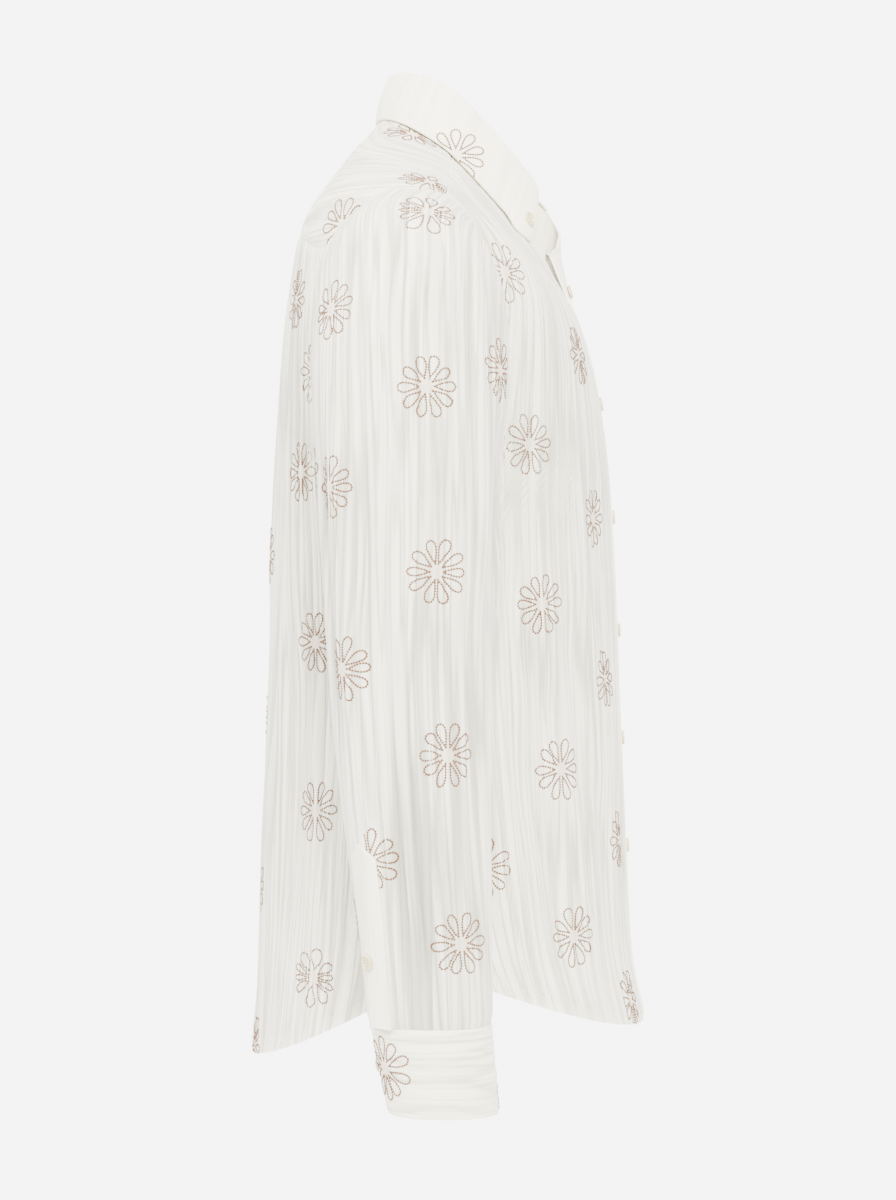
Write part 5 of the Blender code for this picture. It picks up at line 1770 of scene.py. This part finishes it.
def daisy(random, turned=0.0):
    """Lines of one daisy on flat cloth: closed petals, and rings for its centre."""
    petals, rings = [], []
    step = np.linspace(0, 2 * math.pi, 30)
    for k in range(PETALS):
        way = turned + (k + 0.5) * 2 * math.pi / PETALS + math.pi / 2 + random.normal(0, 0.035)
        reach = PETAL_END + random.normal(0, 0.7)
        along = PETAL_START + (reach - PETAL_START) * (0.5 - 0.5 * np.cos(step))
        share = (along - PETAL_START) / (reach - PETAL_START)
        half = PETAL_HALF_WIDTH * (1 + random.normal(0, 0.05))
        side = half * np.sin(step) * (0.16 + 1.05 * share**0.9)
        across = along * math.cos(way) - side * math.sin(way)
        down = along * math.sin(way) + side * math.cos(way)
        petals.append(np.stack([across, down], axis=-1))
    around = np.linspace(0, 2 * math.pi, 18)
    for radius in CENTRE_RINGS:
        rings.append(np.stack([radius * np.cos(around), radius * np.sin(around)], axis=-1))
    return petals, rings


# %% [markdown]
# To lay a drawing on the body, the surface near its centre is taken as flat: two small steps, one
# in angle and one in level, say how far a millimetre across or down is. Where the surface curves,
# that first answer is a little off, so a few passes close in on the distance that was drawn. The
# height then comes from the surface itself, so the stitches sink into the creases. Crinkling also
# draws cloth together across its creases, so a daisy there is a tenth narrower than it was drawn.
#
# A daisy that meets a seam is cut by it, as when the pieces are cut from embroidered cloth. The
# panel's outline, in angles and levels, decides which part of a line is kept.


# %% Laying drawings on a surface
def inside(points, outline):
    """Which points lie in a closed outline, by counting the edges to one side of each."""
    x, y = points[:, 0], points[:, 1]
    found = np.zeros(len(points), dtype=bool)
    ends = np.roll(outline, -1, axis=0)
    for (ax, ay), (bx, by) in zip(outline, ends):
        if ay == by:
            continue
        crosses = (ay > y) != (by > y)
        found ^= crosses & (x < (bx - ax) * (y - ay) / (by - ay) + ax)
    return found


def cloth_tree(name):
    """A search tree over the outer points of a finished piece."""
    points = grids[name]
    index = np.arange(points.shape[0] * points.shape[1]).reshape(points.shape[:2])
    return BVHTree.FromPolygons(points.reshape(-1, 3).tolist(), quads_of(index).tolist())


STITCH_DEPTH = 0.25  # mm that the embroidery sinks into the cloth
PASSES, PASS_SHARE, PASS_LIMIT = 10, 0.6, 5  # each pass mends this share, and no more mm than this


def laid(drawing, centre, surface, tree, outline):
    """Lay flat lines on a surface round a centre, settle them on the cloth, and cut them."""
    first, second = centre
    step = 1e-3
    a, b = np.array([first, first + step, first]), np.array([second, second, second + step])
    spot = surface(a, b)
    one, two = (spot[1] - spot[0]) / step, (spot[2] - spot[0]) / step
    down = two / np.linalg.norm(two)
    across = one - down * (one @ down)
    across = across / np.linalg.norm(across)
    matrix = np.array([[one @ across, two @ across], [one @ down, two @ down]])
    turn = np.linalg.inv(matrix)
    flat = np.concatenate(drawing)
    places = np.array(centre) + flat @ turn.T
    for _ in range(PASSES):
        offset = surface(places[:, 0], places[:, 1]) - spot[0]
        level = offset @ np.stack([across, down], axis=1)
        stretch = np.linalg.norm(offset, axis=1) / np.maximum(np.linalg.norm(level, axis=1), 1e-6)
        short = PASS_SHARE * np.clip(flat - level * stretch[:, None], -PASS_LIMIT, PASS_LIMIT)
        short = np.nan_to_num(short)  # a point off the cloth has no place to reach
        places = places + short @ turn.T
    keep = inside(places, outline)
    points = surface(places[:, 0], places[:, 1])
    outward = unit(surface(places[:, 0], places[:, 1], 1.0) - points)
    lines, run = [], []
    last = set(np.cumsum([len(line) for line in drawing]) - 1)
    for number, (point, kept, out) in enumerate(zip(points, keep, outward)):
        if kept:
            settled = np.array(tree.find_nearest(Vector(point))[0]) - STITCH_DEPTH * out
            run.append(np.concatenate([settled, out]))
        if run and (not kept or number in last):
            lines.append(np.array(run))
            run = []
    return lines


# %% Embroidering a piece of cloth
TAN = {"pitch": 1.9, "length": 3.2, "width": 2.4, "height": 2.1}
PALE = {"pitch": 1.5, "length": 2.4, "width": 1.9, "height": 1.5}


def embroider(name, centres, surface, outline, seed, turned=0.0, shrink=(0.9, 1)):
    """Sew daisies on a piece of cloth: petals in tan thread, centres in pale thread.

    shrink is the share of the flat width and length that the crinkle leaves.
    """
    random = np.random.default_rng(seed)
    tree = cloth_tree(name + "_cloth")
    petals, rings = [], []
    for centre in centres:
        drawn, filled = daisy(random, turned + random.normal(0, 0.05))
        drawn = [line * shrink for line in drawn]
        petals += laid(drawn, centre, surface, tree, outline)
        rings += laid(filled, centre, surface, tree, outline)
    sew(f"daisy_petals_{name}", petals, **TAN, material=tan_thread, slot="embroidery_thread")
    sew(f"daisy_centres_{name}", rings, **PALE, material=pale_thread, slot="embroidery_thread")


# %% [markdown]
# The daisies stand in columns about 90 mm apart, 125 mm from one to the next down a column, with
# every second column half a step lower. On the side that the photograph shows, each one is placed
# where it is seen. The other sides continue the columns by the same rule.


# %% Daisies on the fronts and the back
def panel_outline(angle, level):
    """The edge of a patch as one closed line of angles and levels."""
    grid = np.stack([angle, level], axis=-1)
    return np.concatenate([grid[0], grid[1:, -1], grid[-1, -2::-1], grid[-2:0:-1, 0]])


def at_cut(across, down, from_back=False):
    """Angle and level of the body's point that has this place on the flat cloth."""
    angles, levels = np.meshgrid(
        np.radians(np.arange(-180, 180.1, 1.0)), np.arange(0, HEM + 0.01, 0.05), indexing="ij"
    )
    u, v = body_cut(angles, levels, from_back)
    off = np.hypot(u - across, v - down)
    best = off.argmin()
    if off.ravel()[best] > 6 or levels.ravel()[best] > HEM - 0.05:
        return []
    return [(angles.ravel()[best] % (2 * math.pi), levels.ravel()[best])]


# Angle in degrees from the centre front, and level, of the daisies seen in the photograph
RIGHT_FRONT_DAISIES = (
    (-32.0, 5.70), (-30.5, 8.30), (-29.5, 9.68), (-23.5, 11.02), (-25.0, 12.58),
    (-63.0, 4.86), (-57.0, 7.52), (-56.0, 9.00), (-52.5, 10.40), (-49.5, 11.76), (-76.5, 11.20),
)
RIGHT_BACK_DAISIES = (
    (-134.0, 8.14), (-128.5, 9.42), (-127.5, 10.66), (-127.5, 12.00), (-142.5, 6.54),
    (-166.0, 8.78), (-179.0, 10.08), (-161.5, 11.22), (-159.0, 12.90), (-128.5, 7.26),
    (-178.0, 6.95),
)
ROW_STEP = 125.0
LEFT_FRONT_COLUMNS, LEFT_FRONT_TOP = (62, 148, 234), 100  # mm over the cloth
LEFT_BACK_COLUMNS, LEFT_BACK_TOP = (-85, -172, -258), 60


def turned_round(degrees):
    return math.radians(degrees) % (2 * math.pi)


def half_drop(columns, top, from_back=False):
    """Places of daisies in columns, every second one half a step lower."""
    places = []
    for column, across in enumerate(columns):
        for row in range(6):
            down = top + ROW_STEP * row + (ROW_STEP / 2 if column % 2 else 0)
            places += at_cut(across, down, from_back)
    return places


def front_outline(side):
    angle, level = front_patch(BAND_HALF if side > 0 else BAND_SEAM)
    return panel_outline(angle if side > 0 else 2 * math.pi - angle, level)


right_places = [(turned_round(a), l) for a, l in RIGHT_FRONT_DAISIES]
embroider("front_right", right_places, front_surface(-1), front_outline(-1), seed=3)

left_places = half_drop(LEFT_FRONT_COLUMNS, LEFT_FRONT_TOP)
embroider("front_left", left_places, front_surface(1), front_outline(1), seed=4)

back_places = [(turned_round(a), l) for a, l in RIGHT_BACK_DAISIES]
back_places += half_drop(LEFT_BACK_COLUMNS, LEFT_BACK_TOP, True)
embroider("back", back_places, back_surface, panel_outline(*back_grid()), seed=5)


# %% [markdown]
# The yoke was cut with its threads across, so its daisies lie turned by a quarter. The daisies of
# a sleeve follow the same columns as the body's, counted from the outside of the arm.

# %% Daisies on the yoke and the sleeves
RIGHT_YOKE_DAISIES = ((-123.0, 5.18), (-90.0, 3.42), (-117.5, 0.46))
yoke_places = [(turned_round(a * side), l) for a, l in RIGHT_YOKE_DAISIES for side in (1, -1)]
yoke_places += [(math.pi, 2.9)]
yoke_outline = panel_outline(*yoke_grid())
embroider("yoke", yoke_places, yoke_surface, yoke_outline, 6, math.pi / 2, shrink=(1, 0.9))

SLEEVE_DAISIES = (
    (0.030, 1.20), (0.030, 3.75), (0.050, 5.40), (0.074, 7.05), (0.086, 9.00),
    (-0.138, 2.30), (-0.163, 4.45), (-0.142, 6.20), (-0.118, 8.10),
    (0.192, 2.70), (0.330, 4.60), (0.335, 6.40), (0.350, 8.10), (0.330, 2.10), (0.395, 3.50),
    (0.435, 5.50), (0.470, 7.30), (0.480, 9.00), (-0.300, 3.30), (-0.330, 5.20), (-0.350, 7.00),
    (-0.300, 8.80),
)
# The strip over the slit covers this part of a daisy
PLACKET_NOTCH = ((-0.125, 9.97), (-0.125, 7.3), (-0.215, 7.3), (-0.215, 9.97))
SLEEVE_OUTLINE = np.array([(-0.6, 0.03), (0.6, 0.03), (0.6, 9.97), *PLACKET_NOTCH, (-0.6, 9.97)])

for side, word in ((-1, "right"), (1, "left")):
    place = sleeve_surface(side)
    embroider(f"sleeve_{word}", SLEEVE_DAISIES, place, SLEEVE_OUTLINE, seed=8 + side)


# %% [markdown]
# The collar and the cuffs were cut from the same embroidered cloth, so a daisy is cut off by the
# collar's edge and another wraps the back of the cuff.

# %% Daisies on the collar and the cuffs
COLLAR_OUTLINE = np.array([(34.5, 1.02), (325.5, 1.02), (325.5, 1.985), (34.5, 1.985)])
COLLAR_DAISIES = ((273.0, 1.96), (207.0, 2.12), (93.0, 1.40), (148.0, 1.95))
embroider("collar_leaf", COLLAR_DAISIES, leaf_surface, COLLAR_OUTLINE, seed=12, shrink=(1, 1))

CUFF_DAISIES = ((-0.172, 0.465), (0.340, 0.85), (0.580, 0.12))
CUFF_OUTLINE = np.array([(-0.345, 0.02), (0.745, 0.02), (0.745, 0.98), (-0.345, 0.98)])


def cuff_surface(side):
    def place(turn, down, lift=0.0):
        points = cuff_point(turn, down, cuff_lap(turn) + lift)
        return points if side < 0 else mirrored(points)

    return place


for side, word in ((-1, "right"), (1, "left")):
    place = cuff_surface(side)
    embroider(f"cuff_{word}", CUFF_DAISIES, place, CUFF_OUTLINE, 14 + side, 0.3, shrink=(1, 1))

# %% [markdown]
# ## Seams
#
# Seams and hems are held by plain stitches about three to a centimetre, in the cloth's own
# colour. Each row follows the edge of its piece at a fixed distance, which is read off the grid of
# the finished cloth.


# %% Topstitching
def line_beside(name, edge, distance, sink=0.1):
    """Points at a distance in mm from one edge of a finished piece."""
    points, outward = grids[name], outwards[name]
    if edge in ("first", "last"):
        points, outward = points.transpose(1, 0, 2), outward.transpose(1, 0, 2)
    if edge in ("bottom", "last"):
        points, outward = points[::-1], outward[::-1]
    run = edge_distance(points, "top")
    both = np.concatenate([points - sink * outward, outward], axis=-1)
    columns = range(run.shape[1])
    return np.array([[np.interp(distance, run[:, j], both[:, j, k]) for k in range(6)] for j in columns])


FRONT_SEAMS = (("top", 8.2), ("bottom", 1.8), ("last", 1.8))
BAND_SEAMS = (("first", 5.0), ("last", 5.0), ("top", 8.0))
CUFF_SEAMS = (("top", 1.8), ("top", 7.0), ("bottom", 5.5), ("first", 5.5), ("last", 5.5))
STRIP_SEAMS = (("top", 2.0), ("top", 22.0), ("first", 2.0), ("last", 2.0))
SEWN = {
    "front_right_cloth": FRONT_SEAMS,
    "front_left_cloth": FRONT_SEAMS,
    "back_cloth": (("top", 8.2),),
    "yoke_cloth": (("bottom", 1.8), ("bottom", 6.5), ("first", 1.8), ("last", 1.8), ("top", 2.0)),
    "front_band_cloth": BAND_SEAMS,
    "under_band_cloth": BAND_SEAMS,
    "collar_leaf_cloth": (("bottom", 5.0), ("first", 5.0), ("last", 5.0)),
    "collar_stand_cloth": (("top", 2.0), ("bottom", 2.0)),
    "cuff_right_cloth": CUFF_SEAMS,
    "cuff_left_cloth": CUFF_SEAMS,
    "sleeve_placket_right_cloth": STRIP_SEAMS,
    "sleeve_placket_left_cloth": STRIP_SEAMS,
}
seam_lines = [line_beside(name, *row) for name, seams in SEWN.items() for row in seams]
sew("seam_stitches", seam_lines, 3.1, 3.0, 0.75, 0.9, white_thread)

# %% [markdown]
# ## Buttons
#
# A pearl button is turned on a lathe: a thick rim, a shallow dish inside it and four holes. The
# profile is drawn once, from the middle out to the rim and round to the back, and turned about
# its axis. The holes are part of the dish's mesh, so the thread can go down into them.


# %% A pearl button
BUTTON_SIZE = 11.2  # mm across
BUTTON_THICK = 2.3
HOLE_RADIUS = 0.75
HOLE_PLACE = 1.25
BUTTON_PROFILE = (  # radius and height as shares of the button's radius and thickness
    (0.60, 0.62), (0.66, 0.66), (0.70, 0.78), (0.75, 0.93), (0.80, 0.995), (0.85, 1.0),
    (0.90, 0.97), (0.95, 0.88), (0.985, 0.74), (1.0, 0.55), (0.99, 0.36), (0.95, 0.20),
    (0.85, 0.08), (0.70, 0.02), (0.0, 0.0),
)
BUTTON_SIDES_ROUND, HOLE_SIDES_ROUND = 48, 10


def make_button_mesh():
    disc = bmesh.new()
    radius = BUTTON_SIZE / 2
    rim = []
    for share, height in BUTTON_PROFILE[:-1]:
        ring = []
        for k in range(BUTTON_SIDES_ROUND):
            way = 2 * math.pi * k / BUTTON_SIDES_ROUND
            spot = Vector((math.cos(way), math.sin(way), 0)) * radius * share
            ring.append(disc.verts.new((spot + Vector((0, 0, height * BUTTON_THICK))) * MM))
        rim.append(ring)
    for one, two in zip(rim[:-1], rim[1:]):
        for k in range(BUTTON_SIDES_ROUND):
            m = (k + 1) % BUTTON_SIDES_ROUND
            disc.faces.new((one[k], two[k], two[m], one[m]))
    disc.faces.new(rim[-1][::-1])
    top = BUTTON_PROFILE[0][1] * BUTTON_THICK
    edges = [disc.edges.get((rim[0][k], rim[0][k - 1])) for k in range(BUTTON_SIDES_ROUND)]
    for dx in (-1, 1):
        for dy in (-1, 1):
            hole, floor = [], []
            for k in range(HOLE_SIDES_ROUND):
                way = 2 * math.pi * k / HOLE_SIDES_ROUND
                x = dx * HOLE_PLACE + HOLE_RADIUS * math.cos(way)
                y = dy * HOLE_PLACE + HOLE_RADIUS * math.sin(way)
                hole.append(disc.verts.new(Vector((x, y, top - 0.06)) * MM))
                floor.append(disc.verts.new(Vector((x, y, 0.25)) * MM))
            for k in range(HOLE_SIDES_ROUND):
                m = (k + 1) % HOLE_SIDES_ROUND
                edges.append(disc.edges.new((hole[k], hole[m])))
                disc.faces.new((hole[k], floor[k], floor[m], hole[m]))
            disc.faces.new(floor)
    bmesh.ops.triangle_fill(disc, use_beauty=True, use_dissolve=False, edges=edges)
    bmesh.ops.recalc_face_normals(disc, faces=disc.faces)
    mesh = bpy.data.meshes.new("pearl_button")
    disc.to_mesh(mesh)
    disc.free()
    mesh.shade_smooth()
    mesh.set_sharp_from_angle(angle=math.radians(50))
    mesh.materials.append(pearl)
    return mesh


BUTTON_MESH = make_button_mesh()
print("one button:", len(BUTTON_MESH.polygons), "faces")

# %% [markdown]
# Each button takes its place and its facing from the frame's plain button. Two short runs of thread
# cross the dish from hole to hole.


# %% Setting the buttons
def button_frame(node):
    """Lower centre and outward direction of one of the frame's buttons, in mm."""
    found = frame["nodes"][node]
    points = np.array([found.matrix_world @ v.co for v in found.data.vertices]) / MM
    middle = points.mean(axis=0)
    axis = np.linalg.svd(points - middle)[2][2]
    height = (points - middle) @ axis
    spread = np.linalg.norm((points - middle) - height[:, None] * axis, axis=1)
    if spread[height > 0].mean() > spread[height < 0].mean():
        axis = -axis
    return middle - BUTTON_HEIGHT / 2 * axis, axis


def set_button(node, turned):
    place, facing = button_frame(node)
    turn = Vector(facing).to_track_quat("Z", "Y").to_matrix().to_4x4()
    move = Matrix.Translation(Vector(place) * MM) @ turn @ Matrix.Rotation(turned, 4, "Z")
    mesh = BUTTON_MESH.copy()
    mesh.transform(move)
    made = add_object(node.replace("button", "pearl_button"), mesh)
    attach(made, "root")
    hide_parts(node)
    arc = np.linspace(0, math.pi, 9)
    lines = []
    for offset in (-HOLE_PLACE, HOLE_PLACE):
        x = -HOLE_PLACE * np.cos(arc)
        z = BUTTON_THICK * 0.62 - 0.5 + 0.8 * np.sin(arc)
        spots = np.stack([x, np.full(9, offset), z], axis=-1)
        placed = np.array([(move @ Vector(spot * MM)) / MM for spot in spots])
        lines.append(np.concatenate([placed, np.broadcast_to(facing, placed.shape)], axis=1))
    return lines


button_names = sorted(name for name in frame["nodes"] if name.startswith("button_"))
button_names.remove("button_band")
turns = np.random.default_rng(17).uniform(-0.5, 0.5, len(button_names))
thread_lines = [line for name, turn in zip(button_names, turns) for line in set_button(name, turn)]
sew("button_thread", thread_lines, 0.35, 1.0, 0.8, 0.8, white_thread, slot="pearl_button")
print("buttons:", len(button_names))

# %% [markdown]
# A buttonhole is a slit between two rows of close satin stitches, with a bar across each end. It
# is a little longer than the button, so its ends show above and below it on the front band.


# %% Buttonholes
HOLE_LENGTH, HOLE_GAP, HOLE_BAR = 15.0, 1.1, 1.6  # the last two to each side of the slit


def buttonhole(spot, along, side):
    """Two dense rows and two end bars round a spot, as lines of points in mm."""
    half = HOLE_LENGTH / 2
    lengthwise = along * np.linspace(-half, half, 20)[:, None]
    crosswise = side * np.linspace(-HOLE_BAR, HOLE_BAR, 6)[:, None]
    facing = np.cross(along, side)
    lines = [spot + side * s * HOLE_GAP + lengthwise for s in (-1, 1)]
    lines += [spot + along * s * half + crosswise for s in (-1, 1)]
    return [np.concatenate([line, np.broadcast_to(facing, line.shape)], axis=1) for line in lines]


hole_lines = []
for name in button_names:
    if "collar" in name:
        continue
    place, facing = button_frame(name)
    along = np.array([0, 0, 1.0])
    if "cuff" in name:
        along = np.cross(facing, along)
    along = unit(along - facing * (along @ facing))
    side = np.cross(facing, along)
    hole_lines += buttonhole(place - (REST - 0.15) * facing, along, side)
sew("buttonholes", hole_lines, 0.5, 0.9, 1.6, 0.9, white_thread)
